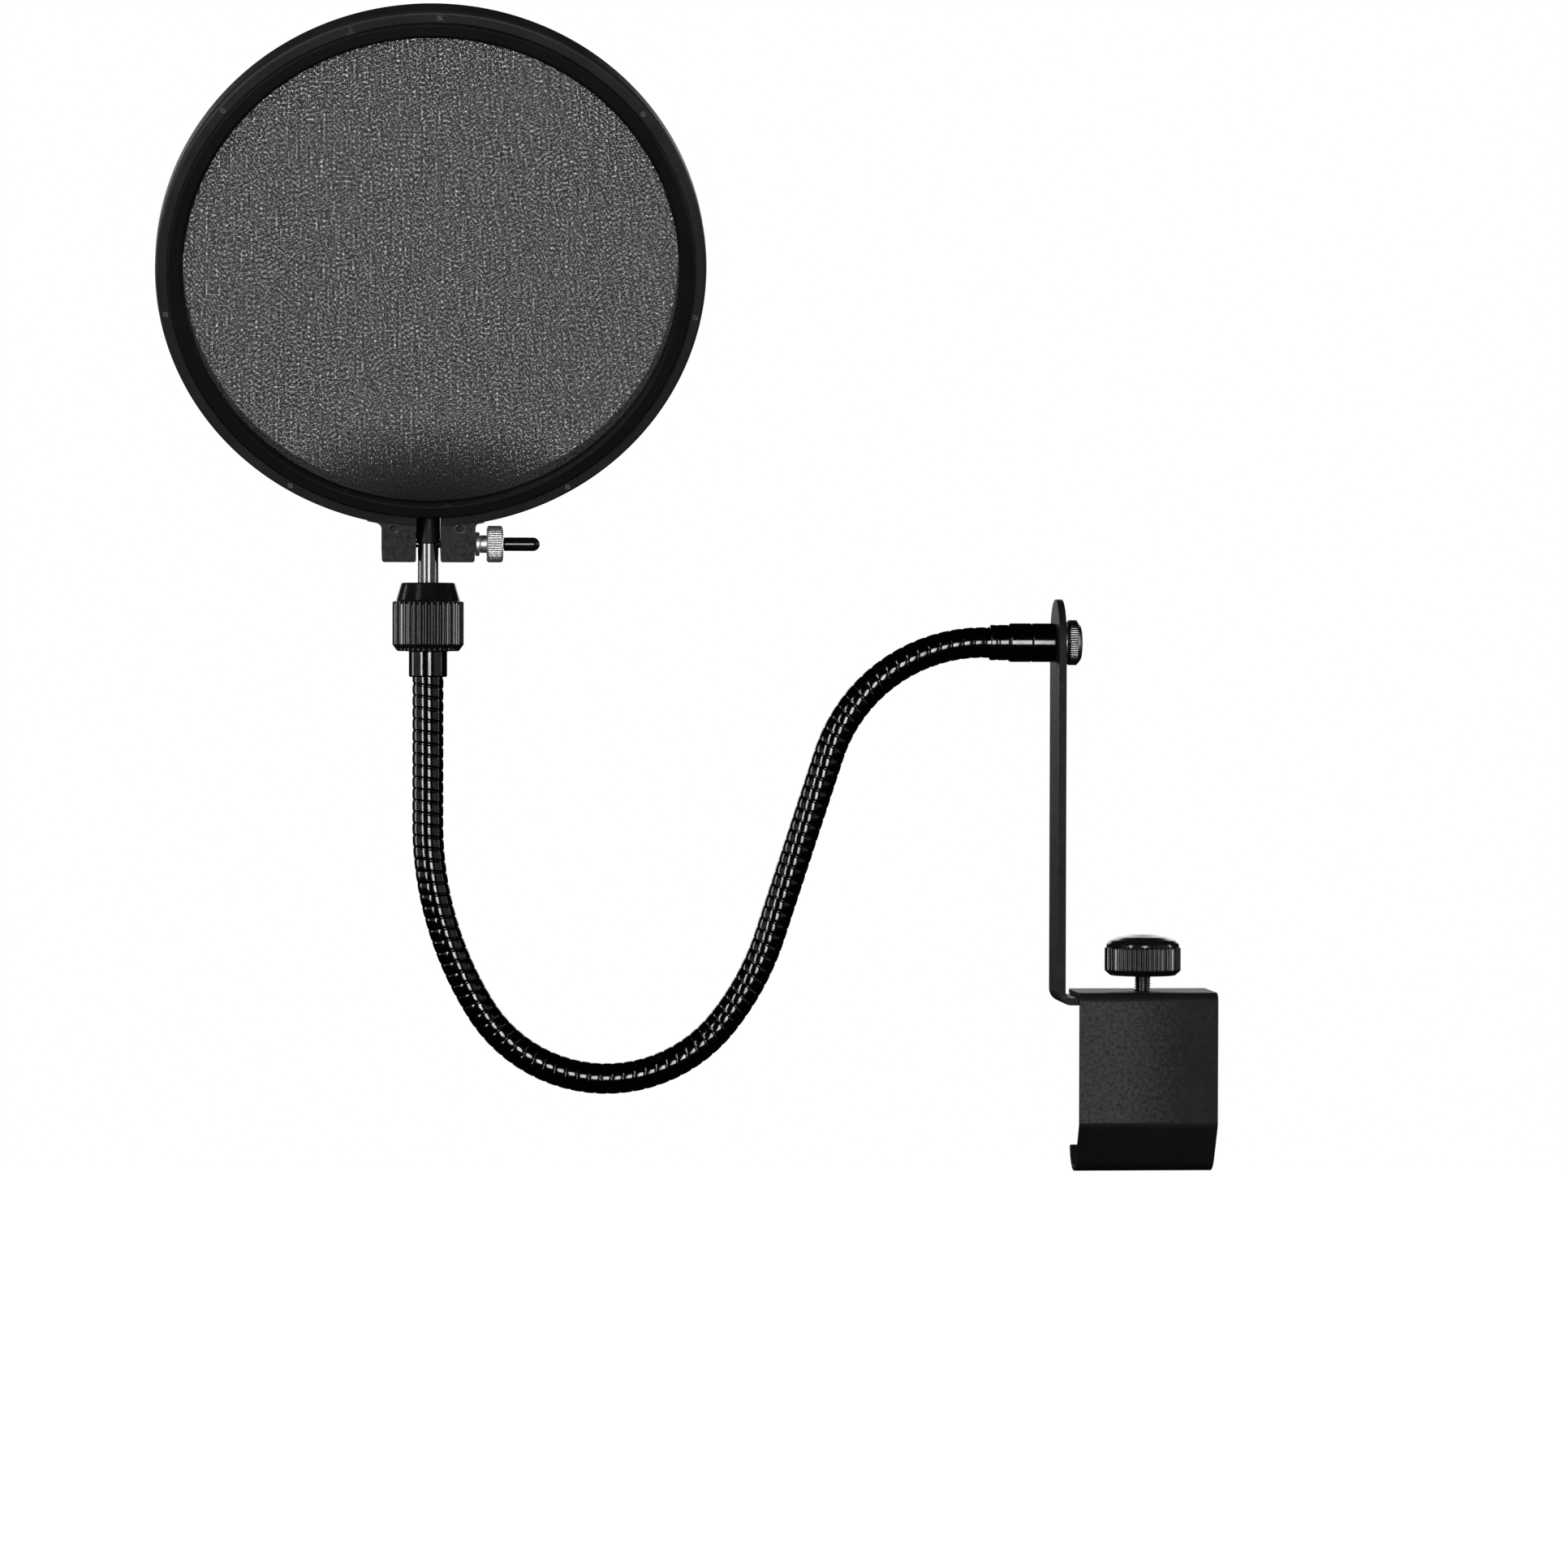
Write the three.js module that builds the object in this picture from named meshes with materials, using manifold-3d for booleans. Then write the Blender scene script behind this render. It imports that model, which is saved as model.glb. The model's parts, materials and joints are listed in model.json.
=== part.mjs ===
// Gooseneck pop filter: a stretched-mesh hoop on a flexible arm, with a screw clamp for a tube.
// Millimetres, +Z up, +X towards the clamp. The origin is the axis of the clamped stand tube, under the clamp screw.
import * as THREE from 'three';
import { mergeVertices } from 'three/addons/utils/BufferGeometryUtils.js';
import Module from 'manifold-3d';

const wasm = await Module();
wasm.setup();

// ---------------------------------------------------------------- driving dimensions

const SEAM = 0.1; // gap between flat faces that rest on each other
const FIT = 0.3; // radial gap of a turning or sliding piece

const TUBE_R = 7.94; // stand tube, 5/8 inch
const CLAMP = { width: 42.8, sheet: 1.6, back: 12.5, front: -15.5, top: 46.1, bend: 2.8, hole: 3 };
const HOOK = { legAngle: 54.5, clearance: 0.06, cornerBend: 3, lipAngle: -14.5 };
const SCREW = { radius: 2.5, tip: 9.9, pad: 8.2, knobBase: 50.8, knobR: 11.75 };

const BAR = { face: -27.6, sheet: 2.25, halfWidth: 12.5, top: 166.6, innerBend: 1.8, footEnd: 8 };
const ARM_Z = 153.3; // height of the arm's swivel axis
const THUMB = { radius: 2.5, headR: 6.95, headStart: -24, headEnd: -19.6, washerR: 5.2 };
const BOSS = { radius: 6, joint: -34.9, start: -42.1, ferruleR: 5.5, ferruleStart: -47.8 };

const NECK_R = 4.75; // 3/8 inch gooseneck
const NECK = { inFerrule: 3.6, segments: 9, ballR: 4.7, cupR: 5.3, sides: 12, step: 6 };

const STEM_X = -220.3; // axis of the stem and of everything threaded on it
const STEM = { radius: 3.175, bottom: 151.5, top: 7, sleeveR: 3.65, sleeveTop: 9, bore: 3.45 };
const FERRULE = { bottom: 142.35, top: 150.15, radius: 5.85, spigotR: 6.5, spigotTop: 156 };
const COLLET = { radius: 6, cone: 163, top: 168.5, topR: 4.4, slit: 0.8 };
const COLLAR = { shoulder: 165.5, shoulderR: 9.85, top: 171.15, topR: 8.25, ribR: 10.9, chamfer: 2, mouth: 4 };
const CONE_GAP = 0.5; // between the collet's cone and the nut's at rest

const PIVOT_Z = 183; // height of the tension screw, which the head tilts on
const HEAD_TILT = 24; // degrees that the top of the hoop leans towards -Y
const HOOP = { outerR: 82.4, grooveR: 78.9, meshR: 74.1, pivotDrop: 7, halfDepth: 4.4 };
const INNER_HOOP = { front: -5.4, back: 4.9 };
const SCREEN = { offset: 2.3, thickness: 0.6 };
const EAR = { gap: 3.75, outside: 14.3, bottom: -4.3, root: 11, corner: 0.8 };
const TENSION = { shaftR: 1.4, headR: 2.8, headDepth: 2.2, end: 32.6 };
const NUT = { washerR: 3.65, washerEnd: 15.65, hubR: 2.7, hubEnd: 17.85, rimR: 5.6, end: 22.8 };
const CAP = { start: 23.1, end: 34.1, radius: 2.1 };

// ---------------------------------------------------------------- solids

const radians = THREE.MathUtils.degToRad;
const tangentOf = (degrees) => Math.tan(radians(degrees));

/** A closed mesh with merged corners and outward faces, from any closed three.js geometry. */
function tidy(geometry) {
  geometry.deleteAttribute('normal');
  geometry.deleteAttribute('uv');
  const merged = mergeVertices(geometry, 1e-4);
  const corner = (i) => new THREE.Vector3().fromBufferAttribute(merged.attributes.position, i);
  const faces = [];
  let volume = 0;
  for (let i = 0; i < merged.index.count; i += 3) {
    const [a, b, c] = [0, 1, 2].map((k) => merged.index.getX(i + k));
    if (a === b || b === c || c === a) continue;
    faces.push([a, b, c]);
    volume += corner(a).dot(corner(b).cross(corner(c)));
  }
  merged.setIndex(faces.flatMap(([a, b, c]) => (volume > 0 ? [a, b, c] : [a, c, b])));
  return merged;
}

/** A three.js geometry as a solid that can be joined and cut. */
function solid(geometry) {
  const mesh = tidy(geometry);
  return new wasm.Manifold(new wasm.Mesh({
    numProp: 3,
    vertProperties: new Float32Array(mesh.attributes.position.array),
    triVerts: new Uint32Array(mesh.index.array),
  }));
}

/** A joined or cut solid as a three.js geometry. */
function geometryOf(body) {
  const { vertProperties, triVerts } = body.getMesh();
  const geometry = new THREE.BufferGeometry();
  geometry.setAttribute('position', new THREE.BufferAttribute(vertProperties, 3));
  geometry.setIndex(new THREE.BufferAttribute(triVerts, 1));
  return geometry;
}

/** One geometry with others cut out of it. */
function cut(geometry, ...tools) {
  return geometryOf(tools.reduce((body, tool) => body.subtract(solid(tool)), solid(geometry)));
}

/** A turned piece about +Z. The profile is [radius, z] pairs, upwards on the outside. */
function turned(profile, sides = 32) {
  const points = profile.map(([r, z]) => new THREE.Vector2(r, z));
  return new THREE.LatheGeometry(points, sides).rotateX(Math.PI / 2);
}

/** A solid rod about +Z. */
const rod = (r, from, to, sides = 24) => turned([[0, from], [r, from], [r, to], [0, to]], sides);

/** A ring about +Z. */
function ring(inner, outer, from, to, sides = 32) {
  return turned([[inner, from], [outer, from], [outer, to], [inner, to], [inner, from]], sides);
}

/** Turns a piece made about +Z so that it lies along +X. */
const alongX = (geometry) => geometry.rotateY(Math.PI / 2);

/** A box given by its lowest and highest corners. */
function box(low, high) {
  const size = high.map((v, i) => v - low[i]);
  const middle = high.map((v, i) => (v + low[i]) / 2);
  return new THREE.BoxGeometry(...size).translate(...middle);
}

/** The corners of an arc about a centre, by angle in degrees. */
function arc(centre, radius, from, to, steps) {
  return Array.from({ length: steps + 1 }, (_, i) => {
    const angle = radians(from + ((to - from) * i) / steps);
    return new THREE.Vector2(centre[0] + radius * Math.cos(angle), centre[1] + radius * Math.sin(angle));
  });
}

/**
 * The outline of a bent strip of sheet. Its mid-line starts at a point with a heading in degrees and goes
 * through moves, which are { run } for a straight and { turn, radius } for a left-hand bend.
 */
function bentStrip(start, heading, moves, sheet) {
  const left = [];
  const right = [];
  const point = new THREE.Vector2(...start);
  let angle = heading;
  const mark = () => {
    const side = new THREE.Vector2(-Math.sin(radians(angle)), Math.cos(radians(angle)));
    left.push(point.clone().addScaledVector(side, sheet / 2));
    right.push(point.clone().addScaledVector(side, -sheet / 2));
  };
  const forward = (length) => {
    point.x += length * Math.cos(radians(angle));
    point.y += length * Math.sin(radians(angle));
  };
  mark();
  for (const { run, turn, radius } of moves) {
    const steps = run ? 1 : Math.ceil(turn / 15);
    const chord = run ?? 2 * radius * Math.sin(radians(turn / steps / 2));
    const swing = run ? 0 : turn / steps;
    for (let i = 0; i < steps; i++) {
      angle += swing / 2;
      forward(chord);
      angle += swing / 2;
      mark();
    }
  }
  return new THREE.Shape([...right, ...left.reverse()]);
}

// ---------------------------------------------------------------- materials and nodes

const finish = (color, roughness, metalness) => ({ color, roughness, metalness, flatShading: true });
const FINISHES = {
  satinBlack: finish(0x2b2b2c, 0.55, 0.3),
  glossBlack: finish(0x101011, 0.22, 0.4),
  hoopBlack: finish(0x1d1d1e, 0.5, 0),
  knobBlack: finish(0x141415, 0.38, 0),
  vinylBlack: finish(0x0c0c0d, 0.3, 0),
  meshGrey: finish(0x5f5f60, 0.9, 0),
  brightSteel: finish(0xb9b9bb, 0.2, 1),
  zincPlate: finish(0xc8c8c6, 0.32, 1),
};

const model = new THREE.Group();
const head = new THREE.Group();
head.position.set(STEM_X, 0, PIVOT_Z);
head.rotation.x = radians(HEAD_TILT);
model.add(head);

/** Adds one named piece to a group. */
function piece(name, geometry, look, parent = model, place = [0, 0, 0]) {
  const body = tidy(geometry);
  body.computeVertexNormals();
  const mesh = new THREE.Mesh(body, new THREE.MeshStandardMaterial(FINISHES[look]));
  mesh.name = name;
  mesh.position.set(...place);
  parent.add(mesh);
}

// ---------------------------------------------------------------- clamp

/** Bent sheet: a top flange, a front plate, and a hook that cups the stand tube from below. */
function clampBracket() {
  const half = CLAMP.sheet / 2;
  const bend = CLAMP.bend - half;
  const plate = CLAMP.front + half;
  const flange = CLAMP.top - half;
  const hookR = TUBE_R + HOOK.clearance + half;
  const lean = radians(HOOK.legAngle);
  const corner = -(hookR + plate * Math.sin(lean)) / Math.cos(lean);
  const turn = 90 - HOOK.legAngle;
  const trim = HOOK.cornerBend * tangentOf(turn / 2);
  const leg = Math.hypot(plate + hookR * Math.sin(lean), corner + hookR * Math.cos(lean)) - trim;
  const outline = bentStrip([CLAMP.back, flange], 180, [
    { run: CLAMP.back - plate - bend },
    { turn: 90, radius: bend },
    { run: flange - bend - corner - trim },
    { turn, radius: HOOK.cornerBend },
    { run: leg },
    { turn: HOOK.lipAngle + 90 + HOOK.legAngle, radius: hookR },
  ], CLAMP.sheet);
  const sheet = new THREE.ExtrudeGeometry(outline, { depth: CLAMP.width, bevelEnabled: false })
    .rotateX(Math.PI / 2).rotateZ(Math.PI / 2).translate(-CLAMP.width / 2, 0, 0);
  return cut(sheet, rod(CLAMP.hole, CLAMP.top - 3, CLAMP.top + 3));
}

const footTop = CLAMP.top - CLAMP.sheet - SEAM;
const footBottom = footTop - BAR.sheet;

/** Flat bar with a round top end, bent at the bottom into a foot that is fixed under the clamp's flange. */
function armBar() {
  const half = BAR.sheet / 2;
  const bend = BAR.innerBend + half;
  const upright = BAR.face + half;
  const foot = footTop - half;
  const outline = bentStrip([upright, BAR.top], 270, [
    { run: BAR.top - foot - bend },
    { turn: 90, radius: bend },
    { run: BAR.footEnd - upright - bend },
  ], BAR.sheet);
  const bar = new THREE.ExtrudeGeometry(outline, { depth: 2 * BAR.halfWidth, bevelEnabled: false })
    .rotateX(Math.PI / 2).translate(0, BAR.halfWidth, 0);
  const crown = new THREE.Shape([
    ...arc([0, BAR.top - BAR.halfWidth], BAR.halfWidth, 0, 180, 16),
    new THREE.Vector2(-BAR.halfWidth, footBottom - 1),
    new THREE.Vector2(BAR.halfWidth, footBottom - 1),
  ]);
  const rounding = new THREE.ExtrudeGeometry(crown, { depth: 60, bevelEnabled: false })
    .rotateX(Math.PI / 2).rotateZ(Math.PI / 2).translate(-40, 0, 0);
  return geometryOf(solid(bar).intersect(solid(rounding))
    .subtract(solid(rod(CLAMP.hole, footBottom - 1, footTop + 1)))
    .subtract(solid(alongX(rod(THUMB.radius + FIT, BAR.face - 1, BAR.face + 4)).translate(0, 0, ARM_Z))));
}

/** Hexagon nut welded under the foot; the clamp screw runs in it. */
function clampNut() {
  const across = 8; // over the flats
  const height = 4;
  const hexagon = new THREE.CylinderGeometry(across / Math.sqrt(3), across / Math.sqrt(3), height, 6);
  const middle = footBottom - SEAM - height / 2;
  const thread = rod(SCREW.radius + FIT, middle - height, middle + height);
  return cut(hexagon.rotateX(Math.PI / 2).translate(0, 0, middle), thread);
}

/** Domed knob, moulded on the head end of the clamp screw. */
function clampKnob() {
  const { knobBase: base, knobR: r } = SCREW;
  const grip = base + 8.9;
  const profile = [
    [0, base], [r - 1.6, base], [r, base + 1.5], [r, grip - 0.6],
    [r - 0.9, grip + 0.8], [r - 2.4, grip + 2.3], [r - 6, grip + 3.4], [0, grip + 3.9],
  ];
  return cut(turned(profile, 36), rod(SCREW.radius + SEAM, base - 1, base + 6.1));
}

/** Thrust pad that stays still on the tube while the screw turns in its socket. */
function clampPad() {
  const { pad: face, tip } = SCREW;
  const socket = SCREW.radius + FIT;
  return turned([
    [0, face], [4.6, face], [5, face + 0.4], [5, face + 2.6],
    [4.2, face + 3.4], [4.2, face + 4.6], [socket, face + 4.6], [socket, tip - FIT], [0, tip - FIT],
  ]);
}

piece('clamp_bracket', clampBracket(), 'satinBlack');
piece('arm_bar', armBar(), 'satinBlack');
piece('clamp_nut', clampNut(), 'zincPlate');
piece('clamp_screw', rod(SCREW.radius, SCREW.tip, SCREW.knobBase + 6), 'brightSteel');
piece('clamp_knob', clampKnob(), 'knobBlack');
piece('clamp_pad', clampPad(), 'knobBlack');

// ---------------------------------------------------------------- arm swivel

/** Thumbscrew: a coin-shaped head with rounded edges on a threaded shank. */
function thumbscrew() {
  const { headR: r, headStart: start, headEnd: end, radius: shank } = THUMB;
  return alongX(turned([
    [0, BOSS.start + 3], [shank, BOSS.start + 3], [shank, start], [r - 0.7, start], [r, start + 0.6],
    [r, end - 1.5], [r - 0.8, end - 0.5], [r - 1.9, end], [0, end],
  ]));
}

/** Round barrel about the swivel axis with the thumbscrew's hole. */
const barrel = (from, to) => alongX(ring(THUMB.radius + FIT, BOSS.radius, from, to));

/** Threaded end piece, closed towards the arm, that the thumbscrew draws against the bar. */
function neckAdapter() {
  const [from, to, hole] = [BOSS.start, BOSS.joint - SEAM / 2, THUMB.radius + FIT];
  return alongX(turned([
    [0, from], [BOSS.radius - 0.4, from], [BOSS.radius, from + 0.4], [BOSS.radius, to],
    [hole, to], [hole, from + 2.5], [0, from + 2.5],
  ]));
}

const onSwivel = [0, 0, ARM_Z];
const washerSpan = [BAR.face + BAR.sheet + SEAM, THUMB.headStart - SEAM];
piece('thumbscrew', thumbscrew(), 'zincPlate', model, onSwivel);
piece('thumbscrew_washer', alongX(ring(THUMB.radius + FIT, THUMB.washerR, ...washerSpan)), 'zincPlate',
  model, onSwivel);
piece('swivel_boss', barrel(BOSS.joint + SEAM / 2, BAR.face - SEAM), 'glossBlack', model, onSwivel);
piece('neck_adapter', neckAdapter(), 'glossBlack', model, onSwivel);
piece('lower_ferrule', alongX(ring(NECK_R + SEAM, BOSS.ferruleR, BOSS.ferruleStart, BOSS.start - SEAM)),
  'glossBlack', model, onSwivel);

// ---------------------------------------------------------------- gooseneck

/** One stretch of the arm's centre line in the XZ plane: a straight, or an arc between two headings. */
const straight = (length, heading) => ({ length, from: heading, to: heading });
const bent = (radius, from, to) => ({ length: radius * radians(Math.abs(to - from)), from, to });

/** How far a stretch goes in X and Z. */
function advance({ length, from, to }, distance = length) {
  const a = radians(from);
  if (from === to) return [distance * Math.cos(a), distance * Math.sin(a)];
  const radius = length / radians(to - from); // negative for a right-hand bend
  const b = a + distance / radius;
  return [radius * (Math.sin(b) - Math.sin(a)), radius * (Math.cos(a) - Math.cos(b))];
}

// From the arm swivel to the stem: over the top, down, round the bottom, and up. Two of the straights take
// the lengths that close the curve on the upper ferrule.
const bends = [bent(50, 180, 252), bent(85, 252, 231), bent(45.5, 231, 122), bent(107, 122, 90)];
const lead = straight(2, 180);
const travel = (axis) => [lead, ...bends].reduce((sum, part) => sum + advance(part)[axis], 0);
const slope = radians(bends[0].to);
const middleRun = (STEM_X - BOSS.ferruleStart - travel(0)) / Math.cos(slope);
const lastRun = FERRULE.bottom - ARM_Z - travel(1) - middleRun * Math.sin(slope);
const route = [
  lead, bends[0], straight(middleRun, bends[0].to), bends[1], bends[2], bends[3], straight(lastRun, 90),
];
const neckLength = route.reduce((sum, part) => sum + part.length, 0);

/** The point at a distance along the arm; the ends run on straight into their ferrules. */
function neckPoint(distance) {
  let [x, z, left] = [BOSS.ferruleStart, ARM_Z, distance];
  for (const [i, part] of route.entries()) {
    const last = i === route.length - 1;
    const step = left <= part.length || last ? left : part.length;
    const [dx, dz] = advance(part, step);
    x += dx;
    z += dz;
    left -= step;
    if (left <= 0 || last) break;
  }
  return new THREE.Vector3(x, 0, z);
}

/** The part of the centre line between two distances, as a three.js curve. */
class NeckStretch extends THREE.Curve {
  constructor(from, to) {
    super();
    this.from = from;
    this.to = to;
  }

  getPoint(t) {
    return neckPoint(this.from + (this.to - this.from) * t);
  }
}

const pivotSpacing = neckLength / (NECK.segments - 1);
const pivots = Array.from({ length: NECK.segments - 1 }, (_, i) => (i + 0.5) * pivotSpacing);

/** One link of the arm. It starts with a cup round the ball of the link before, and ends in a ball. */
function neckLink(index) {
  const first = index === 0;
  const last = index === pivots.length;
  const from = first ? -NECK.inFerrule : pivots[index - 1];
  const to = last ? neckLength + NECK.inFerrule : pivots[index];
  const section = new THREE.Shape(arc([0, 0], NECK_R, 0, 360, NECK.sides).slice(1));
  const steps = Math.ceil((to - from) / NECK.step);
  const extrudePath = new NeckStretch(from, to);
  let link = solid(new THREE.ExtrudeGeometry(section, { steps, extrudePath, bevelEnabled: false }));
  const ball = (radius, at) => solid(
    new THREE.SphereGeometry(radius, NECK.sides, 8).translate(...neckPoint(at).toArray()));
  if (!last) link = link.add(ball(NECK.ballR, to));
  if (!first) link = link.subtract(ball(NECK.cupR, from));
  return geometryOf(link);
}

for (let i = 0; i < NECK.segments; i++) piece(`gooseneck_${i + 1}`, neckLink(i), 'glossBlack');

// ---------------------------------------------------------------- collet and stem

/** Ferrule crimped on the arm's upper end, with a threaded spigot for the collar nut. */
function upperFerrule() {
  const { bottom, top, radius, spigotR, spigotTop } = FERRULE;
  const seat = bottom + NECK.inFerrule + FIT;
  return turned([
    [NECK_R + SEAM, bottom], [radius, bottom], [radius, top], [spigotR, top], [spigotR, spigotTop],
    [STEM.bore, spigotTop], [STEM.bore, seat], [NECK_R + SEAM, seat], [NECK_R + SEAM, bottom],
  ]);
}

/** Slit, tapered collet that grips the stem. */
function collet() {
  const { radius, cone, top, topR, slit } = COLLET;
  const from = FERRULE.spigotTop + SEAM;
  const body = turned([
    [STEM.bore, from], [radius, from], [radius, cone], [topR, top], [STEM.bore, top], [STEM.bore, from],
  ]);
  const slits = [0, 120, 240].map((angle) => (
    box([0, -slit / 2, from + 4], [8, slit / 2, top + 1]).rotateZ(radians(angle))));
  return cut(body, ...slits);
}

/** Tapered collar nut that squeezes the collet when it is turned. */
function collarNut() {
  const { shoulder, shoulderR, top, topR, ribR, chamfer, mouth } = COLLAR;
  const bottom = FERRULE.top + SEAM;
  const bore = FERRULE.spigotR + FIT + SEAM;
  const coneTop = COLLET.top + CONE_GAP;
  return turned([
    [bore, bottom], [ribR - 1.4, bottom], [ribR, bottom + chamfer], [ribR, shoulder], [shoulderR, shoulder],
    [topR, top], [mouth, top], [mouth, coneTop], [COLLET.topR + CONE_GAP, coneTop],
    [bore, COLLET.cone + CONE_GAP], [bore, bottom],
  ], 36);
}

/** Polished stem with a round top and a cross hole for the tension screw. */
function stem() {
  const [low, high, r] = [STEM.bottom - PIVOT_Z, STEM.top, STEM.radius];
  const profile = [[0, low], [r - 0.5, low], [r, low + 0.5], [r, high - 1.2], [r - 1, high - 0.3], [0, high]];
  return cut(turned(profile, 24), alongX(rod(TENSION.shaftR + 0.35, -5, 5, 16)));
}

/** Domed sleeve over the stem's top, which the hoop's ears pinch. */
function stemSleeve() {
  const { sleeveR: r, sleeveTop: top } = STEM;
  const inner = STEM.radius + 0.12;
  const dome = arc([0, top - r], r, 0, 90, 5).map(({ x, y }) => [x, y]);
  dome[dome.length - 1][0] = 0;
  const shell = turned([[inner, 0], [r, 0], ...dome, [0, STEM.top + 0.2], [inner, STEM.top + 0.2], [inner, 0]], 24);
  return cut(shell, alongX(rod(TENSION.shaftR + 0.35, -5, 5, 16)));
}

piece('upper_ferrule', upperFerrule(), 'glossBlack', model, [STEM_X, 0, 0]);
piece('collet', collet(), 'vinylBlack', model, [STEM_X, 0, 0]);
piece('collar_nut', collarNut(), 'knobBlack', model, [STEM_X, 0, 0]);
piece('stem', stem(), 'brightSteel', model, [STEM_X, 0, PIVOT_Z]);
piece('stem_sleeve', stemSleeve(), 'vinylBlack', model, [STEM_X, 0, PIVOT_Z]);

// ---------------------------------------------------------------- head, in the pivot's own upright frame

const hoopCentre = HOOP.pivotDrop + HOOP.outerR;
const HOOP_SIDES = 72;

/** Turns a ring made about +Z so that its axis is the head's Y, and lifts it to the hoop's centre. */
const onHoop = (geometry) => geometry.rotateX(Math.PI / 2).translate(0, 0, hoopCentre);

/** Split outer hoop with two ears at the bottom, each with a hole for the tension screw. */
function outerHoop() {
  const { outerR: r, grooveR: inner, halfDepth: d } = HOOP;
  const profile = [
    [inner, -d], [r - 0.6, -d], [r, 0.6 - d], [r, d - 0.6], [r - 0.6, d], [inner, d], [inner, -d],
  ];
  const band = solid(onHoop(turned(profile, HOOP_SIDES)));
  const { gap, outside, bottom, root, corner } = EAR;
  const ear = new THREE.Shape([
    ...arc([gap + corner, bottom + corner], corner, 180, 270, 3),
    ...arc([outside - corner, bottom + corner], corner, 270, 360, 3),
    new THREE.Vector2(outside, root),
    new THREE.Vector2(gap, root),
  ]);
  const block = () => new THREE.ExtrudeGeometry(ear, { depth: 2 * d, bevelEnabled: false })
    .rotateX(Math.PI / 2).translate(0, d, 0);
  const disc = solid(onHoop(rod(inner, -10, 10, HOOP_SIDES)));
  const ears = solid(block()).add(solid(block().rotateZ(Math.PI))).subtract(disc);
  const slot = solid(box([-gap, -20, -20], [gap, 20, root + 10]));
  const screwHole = solid(alongX(rod(TENSION.shaftR + 0.35, -20, 20, 16)));
  const headPocket = solid(alongX(rod(TENSION.headR + FIT, -20, TENSION.headDepth - outside, 16)));
  return geometryOf(band.add(ears).subtract(slot).subtract(screwHole).subtract(headPocket));
}

/** Inner hoop, a little proud of the outer one at the front, with a lip that keeps the cloth edge in. */
function innerHoop() {
  const { front, back } = INNER_HOOP;
  const [inner, outer] = [HOOP.meshR, HOOP.grooveR - FIT];
  return onHoop(turned([
    [inner, -back], [outer - 0.4, -back], [outer, 0.4 - back], [outer, -front - 0.4], [outer - 0.4, -front],
    [inner + 0.5, -front], [inner, -front - 0.5], [inner, -back],
  ], HOOP_SIDES));
}

/** Stretched cloth disc at a depth behind the middle of the hoop. */
function screen(depth) {
  const half = SCREEN.thickness / 2;
  return onHoop(rod(HOOP.meshR - FIT, -depth - half, -depth + half, HOOP_SIDES));
}

/** Machine screw through both ears, its head sunk in the left one. */
function tensionScrew() {
  const { shaftR, headR, headDepth, end } = TENSION;
  const start = -EAR.outside + 0.2;
  const neck = start + headDepth - FIT;
  return alongX(turned([
    [0, start], [headR - 0.3, start], [headR, start + 0.3], [headR, neck], [shaftR, neck],
    [shaftR, end], [0, end],
  ], 16));
}

/** Thumb nut: a narrow hub against the washer and a knurled disc. */
function tensionNut() {
  const bore = TENSION.shaftR + FIT;
  const { washerEnd, hubR, hubEnd, rimR, end } = NUT;
  const start = washerEnd + SEAM;
  return alongX(turned([
    [bore, start], [hubR, start], [hubR, hubEnd], [rimR - 0.4, hubEnd], [rimR, hubEnd + 0.4],
    [rimR, end - 0.4], [rimR - 0.4, end], [bore, end], [bore, start],
  ]));
}

/** Soft cap over the end of the tension screw. */
function screwCap() {
  const { start, end, radius: r } = CAP;
  const inner = TENSION.shaftR + 0.25;
  const nose = arc([end - r, 0], r, 90, 0, 5).map(({ x, y }) => [y, x]);
  nose[nose.length - 1][0] = 0;
  const floor = TENSION.end + FIT;
  return alongX(turned([[inner, start], [r, start], ...nose, [0, floor], [inner, floor], [inner, start]], 16));
}

piece('outer_hoop', outerHoop(), 'hoopBlack', head);
piece('inner_hoop', innerHoop(), 'hoopBlack', head);
piece('front_screen', screen(-SCREEN.offset), 'meshGrey', head);
piece('rear_screen', screen(SCREEN.offset), 'meshGrey', head);
piece('tension_screw', tensionScrew(), 'brightSteel', head);
piece('tension_washer', alongX(ring(TENSION.shaftR + FIT, NUT.washerR, EAR.outside + SEAM, NUT.washerEnd, 24)),
  'zincPlate', head);
piece('tension_nut', tensionNut(), 'zincPlate', head);
piece('tension_screw_cap', screwCap(), 'vinylBlack', head);

export default model;
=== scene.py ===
import json
from math import acos, asin, atan2, ceil, cos, floor, hypot, pi, radians, sin, sqrt, tan

import bmesh
import bpy
import numpy as np
from mathutils import Matrix, Vector


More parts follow.
